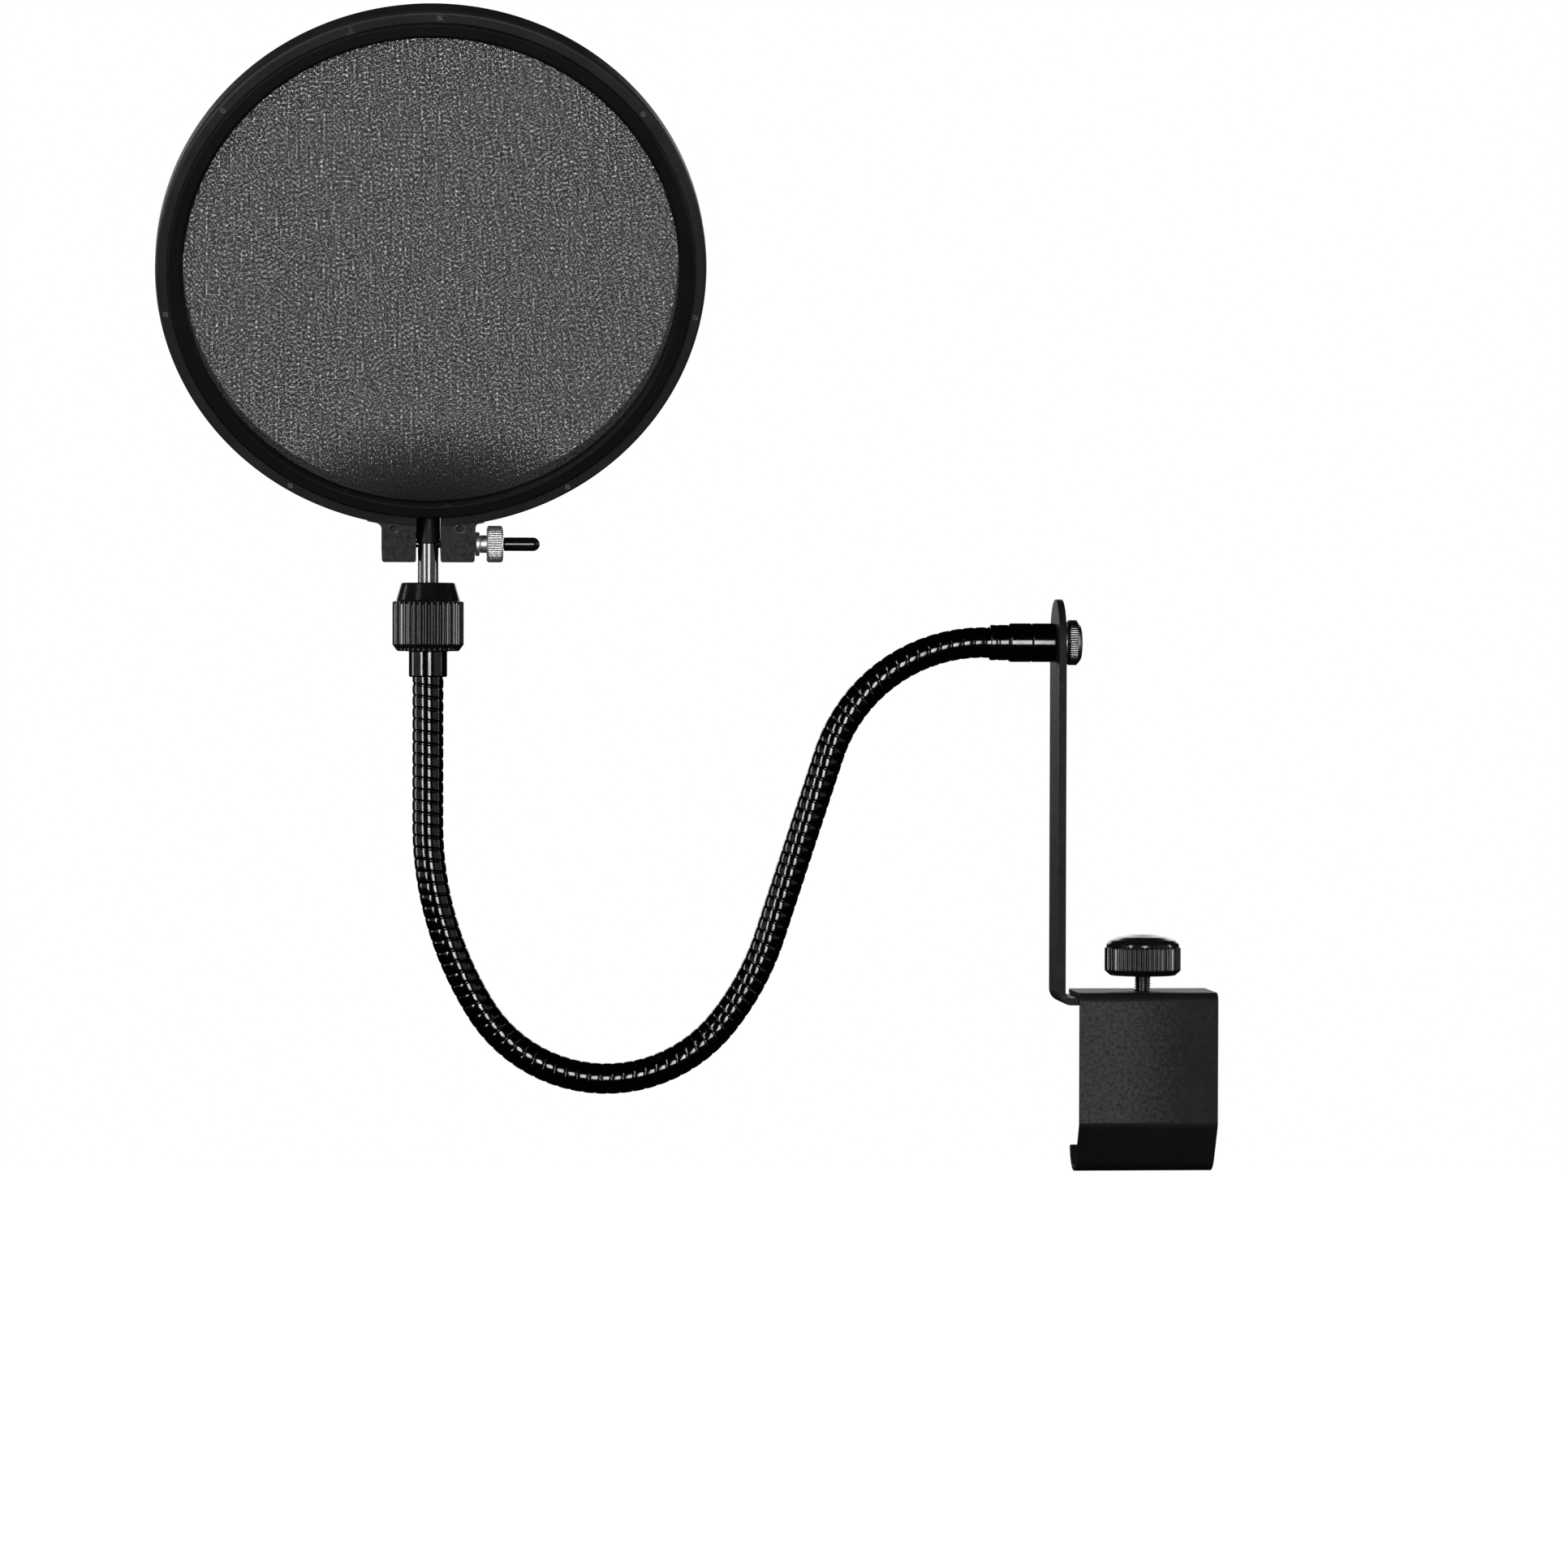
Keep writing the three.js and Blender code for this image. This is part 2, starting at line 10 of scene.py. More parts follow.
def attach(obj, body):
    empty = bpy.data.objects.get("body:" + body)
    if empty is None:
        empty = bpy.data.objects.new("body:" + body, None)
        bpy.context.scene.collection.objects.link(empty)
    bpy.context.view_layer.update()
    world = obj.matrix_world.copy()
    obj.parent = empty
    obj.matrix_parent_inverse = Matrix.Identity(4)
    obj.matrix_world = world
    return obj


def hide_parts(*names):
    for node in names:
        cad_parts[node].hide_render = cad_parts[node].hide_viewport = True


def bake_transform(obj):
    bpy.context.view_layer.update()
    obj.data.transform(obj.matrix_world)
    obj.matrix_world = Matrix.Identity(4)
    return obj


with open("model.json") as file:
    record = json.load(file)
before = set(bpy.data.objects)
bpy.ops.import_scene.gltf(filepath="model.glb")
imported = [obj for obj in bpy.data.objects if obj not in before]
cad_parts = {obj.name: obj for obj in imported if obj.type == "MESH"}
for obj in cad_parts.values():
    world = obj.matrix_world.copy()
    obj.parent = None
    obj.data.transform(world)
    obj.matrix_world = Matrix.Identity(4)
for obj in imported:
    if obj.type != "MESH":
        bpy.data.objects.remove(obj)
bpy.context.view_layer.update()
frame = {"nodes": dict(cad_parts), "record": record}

# Lengths below are millimetres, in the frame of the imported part, and angles are degrees.
# X runs to the photo's right, Y away from the camera and Z up. The clamp screw stands on the Z axis.
MM = 0.001
RANDOM = np.random.default_rng(7)

GAP = 0.1  # between pieces that lie against each other
TUBE_R = 7.94  # of the stand tube that the clamp's hook fits
CLAMP = dict(width=42.8, sheet=1.6, back=12.5, front=-15.5, top=46.1, bend=2.8, hole=3.0)
HOOK = dict(leg=54.5, clearance=0.04, corner=3.0, lip=-14.5)
SCREW = dict(radius=2.5, pitch=0.8, depth=0.38, tip=9.9, pad=8.2, base=50.8, knob=11.75)
NUT = dict(flats=8.0, height=4.0, bore=2.8)
BAR = dict(face=-27.6, sheet=2.25, half=12.5, top=166.6, bend=1.8, foot=8.0)
FOOT_TOP = CLAMP["top"] - CLAMP["sheet"] - GAP
FOOT_BOTTOM = FOOT_TOP - BAR["sheet"]
ARM_Z = 153.3
THUMB = dict(radius=2.5, head=6.95, start=-24.0, end=-19.6, washer=5.2)
BOSS = dict(radius=6.0, bore=2.8, joint=-34.9, start=-42.1, ferrule=5.5, ferrule_start=-47.8)
NECK = dict(radius=4.75, pitch=3.55, crown=0.1, groove=0.16, groove_width=0.24, tuck=3.5, lead=2.0,
            links=9)
UPPER_FERRULE = dict(bottom=142.35, top=150.15, radius=5.85, spigot=6.5, spigot_length=5.85)
COLLAR = dict(bottom=150.25, shoulder=165.5, top=171.15)
STEM_X = -220.3
STEM = dict(radius=3.175, low=151.5, above_pivot=7.0)
SLEEVE = dict(radius=3.65, bore=3.3, top=9.0)
PIVOT_Z = 183.0
HEAD_TILT = 24.0
HOOP = dict(outer=82.4, groove=78.9, mesh=74.1, drop=7.0, half=4.4)
CENTRE = HOOP["drop"] + HOOP["outer"]
INNER = dict(front=5.4, back=4.9, outer=78.96)
EAR = dict(gap=3.75, outside=14.3, bottom=-4.3, top=4.0, taper=0.15, inset=0.15, root=80.6)
# By side, the left ear being -1: the radius and the width of the fillet on the hoop, and a pit's X and Z.
EAR_FILLETS = {-1: (2.2, 4.4), 1: (1.2, 2.6)}
EAR_PITS = {-1: (-10.8, 6.8), 1: (9.6, 6.8)}
MARK_ANGLES = (89, 39.5, 140.5, -9.5, 189.5, -58.5, 238.5)
MARK_INSET = 2.0
TENSION = dict(radius=1.4, pitch=0.5, depth=0.24, end=32.6, head=2.8, drilled=1.6, bore=1.75, pocket=3.1,
               sunk=2.2)
CAP = dict(start=23.1, end=34.1, radius=2.1, bore=1.65)
SCREEN = dict(offset=2.3, hem=0.4, rings=40, sides=180, pull=0.02, waves=(5, 9, 17, 31))
WEAVE = dict(pitch=0.4, wander=0.8, pull=0.24, share=0.6, fuzz=1.35, tone=1.7, dark=0.006, light=0.085)
# Painted shade at the front cloth's foot, which closes its holes and darkens its colour.
FOOT_SHADE = dict(inward=22, aside=40, top=-30, bottom=-50, reach=1.25, power=1.5, cover=0.85, dark=0.88)
REAR_TURN = 37


# ---------------- shapes

def rounded(points, steps=4):
    """A profile of (x, y) or (x, y, fillet) points, with each fillet drawn as an arc."""
    out = []
    for i, (x, y, *fillet) in enumerate(points):
        corner = np.array((x, y), float)
        if not fillet or i in (0, len(points) - 1):
            out.append(corner)
            continue
        before = np.array(points[i - 1][:2]) - corner
        after = np.array(points[i + 1][:2]) - corner
        room = min(np.linalg.norm(before), np.linalg.norm(after))
        before, after = before / np.linalg.norm(before), after / np.linalg.norm(after)
        half = acos(np.clip(before @ after, -1, 1)) / 2
        if half > radians(89):  # too straight for a fillet
            out.append(corner)
            continue
        reach = min(fillet[0] / tan(half), 0.48 * room)  # leaves room for the next corner's fillet
        radius = reach * tan(half)
        middle = before + after
        centre = corner + middle / np.linalg.norm(middle) * radius / sin(half)
        first, last = corner + before * reach - centre, corner + after * reach - centre
        swing = atan2(first[0] * last[1] - first[1] * last[0], first @ last)
        for k in range(steps + 1):
            c, s = cos(swing * k / steps), sin(swing * k / steps)
            out.append(centre + np.array((c * first[0] - s * first[1], s * first[0] + c * first[1])))
    return np.array(out)


def dense(profile, step):
    """A profile with extra points, so that no side is longer than step."""
    out = [profile[0]]
    for a, b in zip(profile[:-1], profile[1:]):
        parts = max(1, ceil(np.linalg.norm(b - a) / step))
        out += [a + (b - a) * k / parts for k in range(1, parts + 1)]
    return np.array(out)


def grid_faces(rows, columns, wrap_rows=False):
    """Quads of a grid of points, row by row, where each row is a closed ring."""
    faces = []
    for r in range(rows if wrap_rows else rows - 1):
        for c in range(columns):
            r2, c2 = (r + 1) % rows, (c + 1) % columns
            faces.append((r * columns + c, r * columns + c2, r2 * columns + c2, r2 * columns + c))
    return faces


def turned(profile, sides=64, relief=None, closed=False):
    """Points and faces of a profile of (radius, z) turned about Z.

    relief(angles, radius, z) says how deep each point of a row is sunk in.
    """
    angles = np.arange(sides) * 2 * pi / sides
    rows = []
    for radius, z in profile:
        r = np.full(sides, float(radius))
        if relief is not None:
            r = np.maximum(r - relief(angles, radius, z), 0)
        rows.append(np.column_stack((r * np.cos(angles), r * np.sin(angles), np.full(sides, z))))
    return np.concatenate(rows), grid_faces(len(profile), sides, wrap_rows=closed)


def cylinder(radius, low, high, sides=32):
    """Points and faces of a plain cylinder on Z."""
    return turned([(0, low), (radius, low), (radius, high), (0, high)], sides)


def ribs(count, depth, low, high, fade=0.5, radius_from=0.0, crown=0.8):
    """A relief of ribs between two heights, only beyond radius_from. A larger crown makes narrower ribs."""
    def sink(angles, radius, z):
        share = np.clip(min(z - low, high - z) / fade, 0, 1)
        if radius < radius_from:
            share = 0
        return depth * share * (1 - np.abs(np.sin(count * angles / 2)) ** crown)
    return sink


def thread(pitch, depth, low, high):
    """A relief of a screw thread between two heights."""
    def sink(angles, radius, z):
        share = np.clip(min(z - low, high - z) / pitch, 0, 1)
        turn = (z / pitch - angles / (2 * pi)) % 1
        flanks = np.clip(np.abs(2 * turn - 1) * 1.3 - 0.15, 0, 1)  # with a narrow flat at crest and root
        return depth * np.where(share > 0, flanks, 1 - share)
    return sink


def strip(start, heading, moves, sheet):
    """Both sides of a bent strip. A move is ("run", length), or ("turn", angle, radius) to the left."""
    left, right = [], []
    point, angle = np.array(start, float), heading

    def mark():
        side = np.array((-sin(radians(angle)), cos(radians(angle))))
        left.append(point + side * sheet / 2)
        right.append(point - side * sheet / 2)

    mark()
    for kind, amount, *radius in moves:
        steps = 1 if kind == "run" else max(2, ceil(amount / 6))  # 6 degrees at most
        swing = 0 if kind == "run" else amount / steps
        chord = amount if kind == "run" else 2 * radius[0] * sin(radians(swing / 2))
        for _ in range(steps):
            angle += swing / 2
            ahead = np.array((cos(radians(angle)), sin(radians(angle))))
            point = point + chord * ahead
            angle += swing / 2
            mark()
    return np.array(left), np.array(right)


def sheet_solid(left, right, half_width, to_row):
    """Points and faces of a bent strip as wide as 2 half_width. to_row turns (u, v, across) into X, Y, Z."""
    n = len(left)
    points = [to_row(*p, across) for across in (-half_width, half_width) for p in [*left, *right]]
    faces = []
    for i in range(n - 1):
        for near, far in ((i, i + 1), (n + i + 1, n + i)):
            faces.append((near, far, far + 2 * n, near + 2 * n))
        faces.append((i, n + i, n + i + 1, i + 1))
        faces.append((2 * n + i, 2 * n + i + 1, 3 * n + i + 1, 3 * n + i))
    faces += [(0, 2 * n, 3 * n, n), (n - 1, 2 * n - 1, 4 * n - 1, 3 * n - 1)]
    return np.array(points), faces


def prism(outline, low, high, to_row):
    """Points and faces of a flat outline pushed from low to high along the third direction."""
    n = len(outline)
    points = [to_row(*p, d) for d in (low, high) for p in outline]
    faces = [tuple(range(n)), tuple(range(2 * n - 1, n - 1, -1))]
    faces += [(i, i + n, (i + 1) % n + n, (i + 1) % n) for i in range(n)]
    return np.array(points), faces


def arc(centre, radius, start, end, steps):
    """Points of an arc."""
    angles = np.radians(np.linspace(start, end, steps + 1))
    return [(centre[0] + radius * cos(a), centre[1] + radius * sin(a)) for a in angles]


def merged(*parts):
    """Several (points, faces) as one."""
    points, faces, count = [], [], 0
    for p, f in parts:
        points.append(p)
        faces += [tuple(i + count for i in face) for face in f]
        count += len(p)
    return np.concatenate(points), faces


def placed(part, matrix):
    """(points, faces) moved by a matrix whose shift is in millimetres."""
    points, faces = part
    m = np.array(matrix)
    return points @ m[:3, :3].T + m[:3, 3], faces


# ---------------- objects

def shift(x=0.0, y=0.0, z=0.0):
    return Matrix.Translation((x, y, z))


ON_X = Matrix.Rotation(radians(90), 4, "Y")
ON_Y = Matrix.Rotation(radians(90), 4, "X")
ON_SWIVEL = shift(z=ARM_Z) @ ON_X  # a profile's heights become X of the part
ON_STEM = shift(STEM_X)
ON_PIVOT = shift(STEM_X, 0, PIVOT_Z)
HEAD = ON_PIVOT @ Matrix.Rotation(radians(HEAD_TILT), 4, "X")
ON_TENSION_SCREW = HEAD @ ON_X
ON_HOOP = HEAD @ shift(z=CENTRE) @ ON_Y


def in_metres(matrix):
    """A matrix whose shift is in millimetres, with its shift in metres."""
    out = matrix.copy()
    out.translation = matrix.translation * MM
    return out


def add_object(name, part, material, place=Matrix.Identity(4), sharp=40.0, weighted=True):
    """A mesh object from points in millimetres. Edges sharper than the angle stay sharp."""
    points, faces = part
    mesh = bpy.data.meshes.new(name)
    mesh.from_pydata((np.asarray(points, float) * MM).tolist(), [], faces)
    mesh.validate()
    mesh.materials.append(material)
    obj = bpy.data.objects.new(name, mesh)
    bpy.context.scene.collection.objects.link(obj)
    work_on(obj, lambda bm: (bmesh.ops.remove_doubles(bm, verts=bm.verts, dist=1e-7),
                             bmesh.ops.recalc_face_normals(bm, faces=bm.faces)))
    smooth(obj, sharp, weighted)
    obj.matrix_world = in_metres(place)
    return obj


def smooth(obj, sharp, weighted=True):
    """Shades an object smooth, but for edges sharper than the angle."""
    obj.data.shade_smooth()
    if sharp:
        obj.data.set_sharp_from_angle(angle=radians(sharp))
    if weighted:
        obj.modifiers.new("weighted", "WEIGHTED_NORMAL").keep_sharp = True


def work_on(obj, change):
    """Changes an object's mesh with bmesh."""
    bm = bmesh.new()
    bm.from_mesh(obj.data)
    change(bm)
    bm.to_mesh(obj.data)
    bm.free()


def show(obj, body, nodes):
    """Puts a piece on its body, in place of CAD nodes."""
    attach(obj, body)
    if nodes:
        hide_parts(*nodes)


def combine(obj, part, operation, sharp=40.0):
    """Joins a solid to an object or cuts it out of it. The solid is (points, faces) in the object's frame."""
    tool = add_object("tool", part, obj.data.materials[0], weighted=False, sharp=sharp)
    step = obj.modifiers.new("combine", "BOOLEAN")
    step.operation, step.solver, step.object = operation, "EXACT", tool
    bake(obj)
    bpy.data.objects.remove(tool)


def cut_with(obj, *tools):
    """Cuts solids out of an object."""
    for part in tools:
        combine(obj, part, "DIFFERENCE")


def bake(obj):
    """Applies the modifiers of an object."""
    bpy.context.view_layer.update()
    graph = bpy.context.evaluated_depsgraph_get()
    mesh = bpy.data.meshes.new_from_object(obj.evaluated_get(graph), depsgraph=graph)
    obj.modifiers.clear()
    obj.data = mesh


def soften(obj, width, segments=3, angle=35.0):
    """Rounds the edges of an object and keeps its flat faces flat."""
    bevel = obj.modifiers.new("edges", "BEVEL")
    bevel.width, bevel.segments, bevel.limit_method = width * MM, segments, "ANGLE"
    bevel.angle_limit = radians(angle)
    bake(obj)
    smooth(obj, 50)
    return obj


# ---------------- materials

class Look:
    """A principled material with procedural variation of colour, roughness and surface."""

    def __init__(self, name, colour, roughness, metallic=0.0, **sockets):
        self.material = bpy.data.materials.new(name)
        self.material.use_nodes = True
        self.nodes = self.material.node_tree.nodes
        self.links = self.material.node_tree.links
        self.shader = self.nodes["Principled BSDF"]
        self.set("Base Color", (*colour, 1) if hasattr(colour, "__len__") else (colour, colour, colour, 1))
        self.set("Roughness", roughness)
        self.set("Metallic", metallic)
        for socket, value in sockets.items():
            self.set(socket.replace("_", " "), value)
        self.place = self.node("ShaderNodeTexCoord").outputs["Object"]

    def set(self, socket, value):
        self.shader.inputs[socket].default_value = value

    def node(self, kind, **settings):
        made = self.nodes.new(kind)
        for key, value in settings.items():
            setattr(made, key, value)
        return made

    def link(self, out, into):
        self.links.new(out, into)

    def noise(self, scale, detail=2.0, roughness=0.5, stretch=(1, 1, 1)):
        """Noise with about scale grains a millimetre, as a value round 0.5."""
        mapping = self.node("ShaderNodeMapping")
        mapping.inputs["Scale"].default_value = tuple(scale / MM * s for s in stretch)
        self.link(self.place, mapping.inputs["Vector"])
        made = self.node("ShaderNodeTexNoise")
        made.inputs["Scale"].default_value = 1
        made.inputs["Detail"].default_value = detail
        made.inputs["Roughness"].default_value = roughness
        self.link(mapping.outputs["Vector"], made.inputs["Vector"])
        return made.outputs["Fac"]

    def ramp(self, value, low, high, start=0.0, end=1.0):
        """value from start to end, drawn out from low to high."""
        made = self.node("ShaderNodeMapRange", clamp=True)
        made.inputs["From Min"].default_value, made.inputs["From Max"].default_value = start, end
        made.inputs["To Min"].default_value, made.inputs["To Max"].default_value = low, high
        self.link(value, made.inputs["Value"])
        return made.outputs["Result"]

    def share(self, value, start, end):
        """How far value is on its way from start to end, from 0 to 1."""
        return self.ramp(value, 0, 1, start, end)

    def math(self, kind, *values):
        made = self.node("ShaderNodeMath", operation=kind)
        for socket, value in zip(made.inputs, values):
            if isinstance(value, (int, float)):
                socket.default_value = value
            else:
                self.link(value, socket)
        return made.outputs[0]

    def colour_mix(self, share, first, second):
        made = self.node("ShaderNodeMix", data_type="RGBA")
        self.link(share, made.inputs[0])
        for socket, value in ((made.inputs[6], first), (made.inputs[7], second)):
            if hasattr(value, "is_linked"):
                self.link(value, socket)
            else:
                socket.default_value = (value, value, value * 1.005, 1)
        return made.outputs[2]

    def vary_colour(self, share, first, second):
        self.link(self.colour_mix(share, first, second), self.shader.inputs["Base Color"])

    def vary_roughness(self, noise, low, high):
        self.link(self.ramp(noise, low, high, 0.3, 0.7), self.shader.inputs["Roughness"])

    def bump(self, height, depth):
        """A bump as deep as depth millimetres, over any bump made before."""
        made = self.node("ShaderNodeBump")
        made.inputs["Strength"].default_value = 1
        made.inputs["Distance"].default_value = depth * MM
        self.link(height, made.inputs["Height"])
        normal = self.shader.inputs["Normal"]
        if normal.is_linked:
            self.link(normal.links[0].from_socket, made.inputs["Normal"])
        self.link(made.outputs["Normal"], normal)

    def pointiness(self, start, end):
        """0 to 1 from hollow to outside edge. An even surface has a pointiness of 0.5."""
        return self.share(self.node("ShaderNodeNewGeometry").outputs["Pointiness"], start, end)

    def worn(self, base, edge):
        """A little of the edge colour along outside edges, broken up by noise."""
        patch = self.math("MULTIPLY", self.pointiness(0.52, 0.6), self.noise(0.9, 3))
        return self.colour_mix(self.share(patch, 0.25, 0.6), base, edge)


def powder_coat():
    """Fine matt black powder coat over steel, with dust specks."""
    look = Look("satin_black", 0.03, 0.5, Specular_IOR_Level=0.12)
    fleck = look.share(look.noise(2.3, 2), 0.72, 0.78)
    cloud = look.colour_mix(look.share(look.noise(0.06, 3), 0.35, 0.65), 0.008, 0.011)
    coat = look.colour_mix(look.math("MULTIPLY", fleck, 0.4), cloud, 0.1)
    look.link(look.worn(coat, 0.05), look.shader.inputs["Base Color"])
    look.vary_roughness(look.noise(0.5, 4), 0.4, 0.52)
    look.bump(look.noise(3.2, 3, 0.6), 0.035)
    look.bump(look.noise(0.7, 2), 0.05)
    return look.material


def black_nickel():
    """Black plated metal of the arm, glossy with faint wipe marks."""
    look = Look("gloss_black_metal", 0.1, 0.2, 1.0)
    look.vary_colour(look.share(look.noise(0.25, 3), 0.3, 0.7), 0.045, 0.07)
    look.vary_roughness(look.noise(0.8, 4, 0.65), 0.07, 0.16)
    look.bump(look.noise(1.6, 2), 0.006)
    return look.material


def polished_steel(name, tint, low, high, stretch, lines=0.004):
    """Bright metal with fine turning lines."""
    look = Look(name, tint, 0.15, 1.0)
    look.vary_colour(look.noise(0.3, 3), tint * 0.86, tint)
    look.vary_roughness(look.noise(1.2, 3, 0.6, stretch), low, high)
    look.bump(look.noise(2.5, 2, 0.5, stretch), lines)
    return look.material


def zinc():
    """Clear zinc plate: bright and a little cloudy, with painted shade that darkens its colour in the
    hollows.
    """
    look = Look("zinc_plate", 0.78, 0.3, 1.0)
    unshaded_colour = look.colour_mix(look.noise(0.5, 4), 0.84, 0.95)
    # Painted shade: the colour falls to 0.4 in the hollows, where pointiness is low.
    look.vary_colour(look.pointiness(0.42, 0.5), 0.4, unshaded_colour)
    look.vary_roughness(look.noise(1.1, 4, 0.6), 0.36, 0.5)
    look.bump(look.noise(3.0, 3), 0.008)
    return look.material


def moulded(name, dark, light, smooth, rough, grain, depth, specular=0.5):
    """Moulded plastic with a fine tool texture and slightly rubbed edges."""
    look = Look(name, dark, smooth, Specular_IOR_Level=specular)
    cloud = look.colour_mix(look.share(look.noise(0.08, 3), 0.3, 0.7), dark, light)
    look.link(look.worn(cloud, light * 2.2), look.shader.inputs["Base Color"])
    look.vary_roughness(look.noise(0.9, 4), smooth, rough)
    look.bump(look.noise(grain, 3, 0.6), depth)
    return look.material


def cloth(name, turn=0.0, shaded=False):
    """Fine black nylon weave with open holes, turned by an angle. A shaded one has painted shade at its foot,
    with fewer holes and a darker colour.
    """
    look = Look(name, 0.05, 0.75, Sheen_Weight=0.1, Sheen_Roughness=0.4, Specular_IOR_Level=0.2)
    wander = look.node("ShaderNodeTexNoise")
    wander.inputs["Scale"].default_value = WEAVE["wander"] / MM
    wander.inputs["Detail"].default_value = 3
    look.link(look.place, wander.inputs["Vector"])
    pull = look.node("ShaderNodeVectorMath", operation="MULTIPLY_ADD")
    look.link(wander.outputs["Color"], pull.inputs[0])
    pull.inputs[1].default_value = (WEAVE["pull"] * MM,) * 3
    look.link(look.place, pull.inputs[2])
    lie = look.node("ShaderNodeMapping")
    lie.inputs["Rotation"].default_value = (0, 0, radians(turn))
    look.link(pull.outputs["Vector"], lie.inputs["Vector"])
    split = look.node("ShaderNodeSeparateXYZ")
    look.link(lie.outputs["Vector"], split.inputs[0])
    per_metre = 2 * pi / (WEAVE["pitch"] * MM)
    warp, weft = (
        look.share(look.math("COSINE", look.math("MULTIPLY", split.outputs[axis], per_metre)), -1, 1)
        for axis in (0, 1)
    )
    fuzz = look.ramp(look.noise(WEAVE["fuzz"], 1, 0.5), -0.21, 0.57, 0.28, 0.72)
    weave = look.math("MAXIMUM", warp, weft)
    body = look.math("ADD", look.math("MULTIPLY", weave, WEAVE["share"]), fuzz)
    tone = look.share(look.noise(WEAVE["tone"], 2, 0.6), 0.34, 0.66)
    colour = look.colour_mix(tone, WEAVE["dark"], WEAVE["light"])
    if shaded:
        # Painted shade: towards the foot the holes close and the colour darkens.
        shade = foot_shade(look)
        body = look.math("ADD", body, look.math("MULTIPLY", shade, FOOT_SHADE["cover"]))
        colour = look.colour_mix(look.math("MULTIPLY", shade, FOOT_SHADE["dark"]), colour, 0.004)
    look.link(look.share(body, 0.34, 0.6), look.shader.inputs["Alpha"])
    look.link(colour, look.shader.inputs["Base Color"])
    look.bump(weave, 0.1)
    return look.material


def foot_shade(look):
    """Painted shade: 1 at the rim of the disc's lowest point, and less inwards and to the sides."""
    where = look.node("ShaderNodeSeparateXYZ")
    look.link(look.place, where.inputs[0])
    across, up = where.outputs[0], where.outputs[1]
    squares = look.math("ADD", look.math("MULTIPLY", across, across), look.math("MULTIPLY", up, up))
    to_rim = look.math("SUBTRACT", HOOP["mesh"] * MM, look.math("SQRT", squares))
    inward = look.math("DIVIDE", to_rim, FOOT_SHADE["inward"] * MM)
    aside = look.math("DIVIDE", across, FOOT_SHADE["aside"] * MM)
    away = look.math("ADD", inward, look.math("MULTIPLY", aside, aside))
    near = look.math("POWER", look.ramp(away, 1, 0, 0.0, FOOT_SHADE["reach"]), FOOT_SHADE["power"])
    low = look.ramp(up, 1, 0, FOOT_SHADE["bottom"] * MM, FOOT_SHADE["top"] * MM)
    return look.math("MULTIPLY", near, low)


# For polished_steel: tint, lowest and highest roughness, stretch of the lines and their depth.
# For moulded: darkest and lightest colour, lowest and highest roughness, grains a millimetre, depth, gloss.
LOOKS = {
    "satin_black": powder_coat(),
    "gloss_black_metal": black_nickel(),
    "bright_steel": polished_steel("bright_steel", 0.17, 0.2, 0.28, (1, 1, 6)),
    "nickel": polished_steel("nickel", 0.3, 0.2, 0.3, (1, 1, 1), 0.008),
    "zinc_plate": zinc(),
    "moulded_black": moulded("moulded_black", 0.004, 0.007, 0.13, 0.2, 1.6, 0.002),
    "black_vinyl": moulded("black_vinyl", 0.003, 0.005, 0.1, 0.16, 1.2, 0.005),
    "dull_vinyl": moulded("black_vinyl_dull", 0.002, 0.004, 0.4, 0.5, 1.2, 0.01, 0.2),
    "hoop_plastic": moulded("hoop_plastic", 0.012, 0.019, 0.4, 0.54, 2.0, 0.03, 0.3),
    # Lighter plastic for the mould's pin marks, and a painted glint on the rims round the ears' pits.
    "pin_marks_and_glint": moulded("pin_marks_and_glint", 0.045, 0.08, 0.3, 0.4, 2.0, 0.02),
    "inner_hoop": moulded("hoop_plastic_inner", 0.003, 0.005, 0.45, 0.6, 2.0, 0.03, 0.15),
    "mesh_cloth": cloth("mesh_cloth", shaded=True),
    "rear_cloth": cloth("mesh_cloth_rear", REAR_TURN),
}

for entry in frame["record"]["subparts"]:
    node = frame["nodes"].get(entry["node"])
    if node is not None:
        node.data.materials.clear()
        node.data.materials.append(LOOKS[entry["material_slot"]])


# ---------------- clamp

def bracket():
    """The flange, the front plate and the hook, bent from one strip of sheet."""
    half = CLAMP["sheet"] / 2
    bend = CLAMP["bend"] - half
    plate = CLAMP["front"] + half
    flange = CLAMP["top"] - half
    hook = TUBE_R + HOOK["clearance"] + half
    lean = radians(HOOK["leg"])
    corner = -(hook + plate * sin(lean)) / cos(lean)
    turn = 90 - HOOK["leg"]
    trim = HOOK["corner"] * tan(radians(turn / 2))
    leg = hypot(plate + hook * sin(lean), corner + hook * cos(lean)) - trim
    left, right = strip((CLAMP["back"], flange), 180, [
        ("run", CLAMP["back"] - plate - bend), ("turn", 90, bend),
        ("run", flange - bend - corner - trim), ("turn", turn, HOOK["corner"]),
        ("run", leg), ("turn", HOOK["lip"] + 90 + HOOK["leg"], hook),
    ], CLAMP["sheet"])
    part = sheet_solid(left, right, CLAMP["width"] / 2, lambda u, v, across: (across, u, v))
    obj = add_object("bracket", part, LOOKS["satin_black"], weighted=False, sharp=0)
    cut_with(obj, placed(cylinder(CLAMP["hole"], -3, 3, 48), shift(z=flange)))
    return soften(obj, width=0.32)


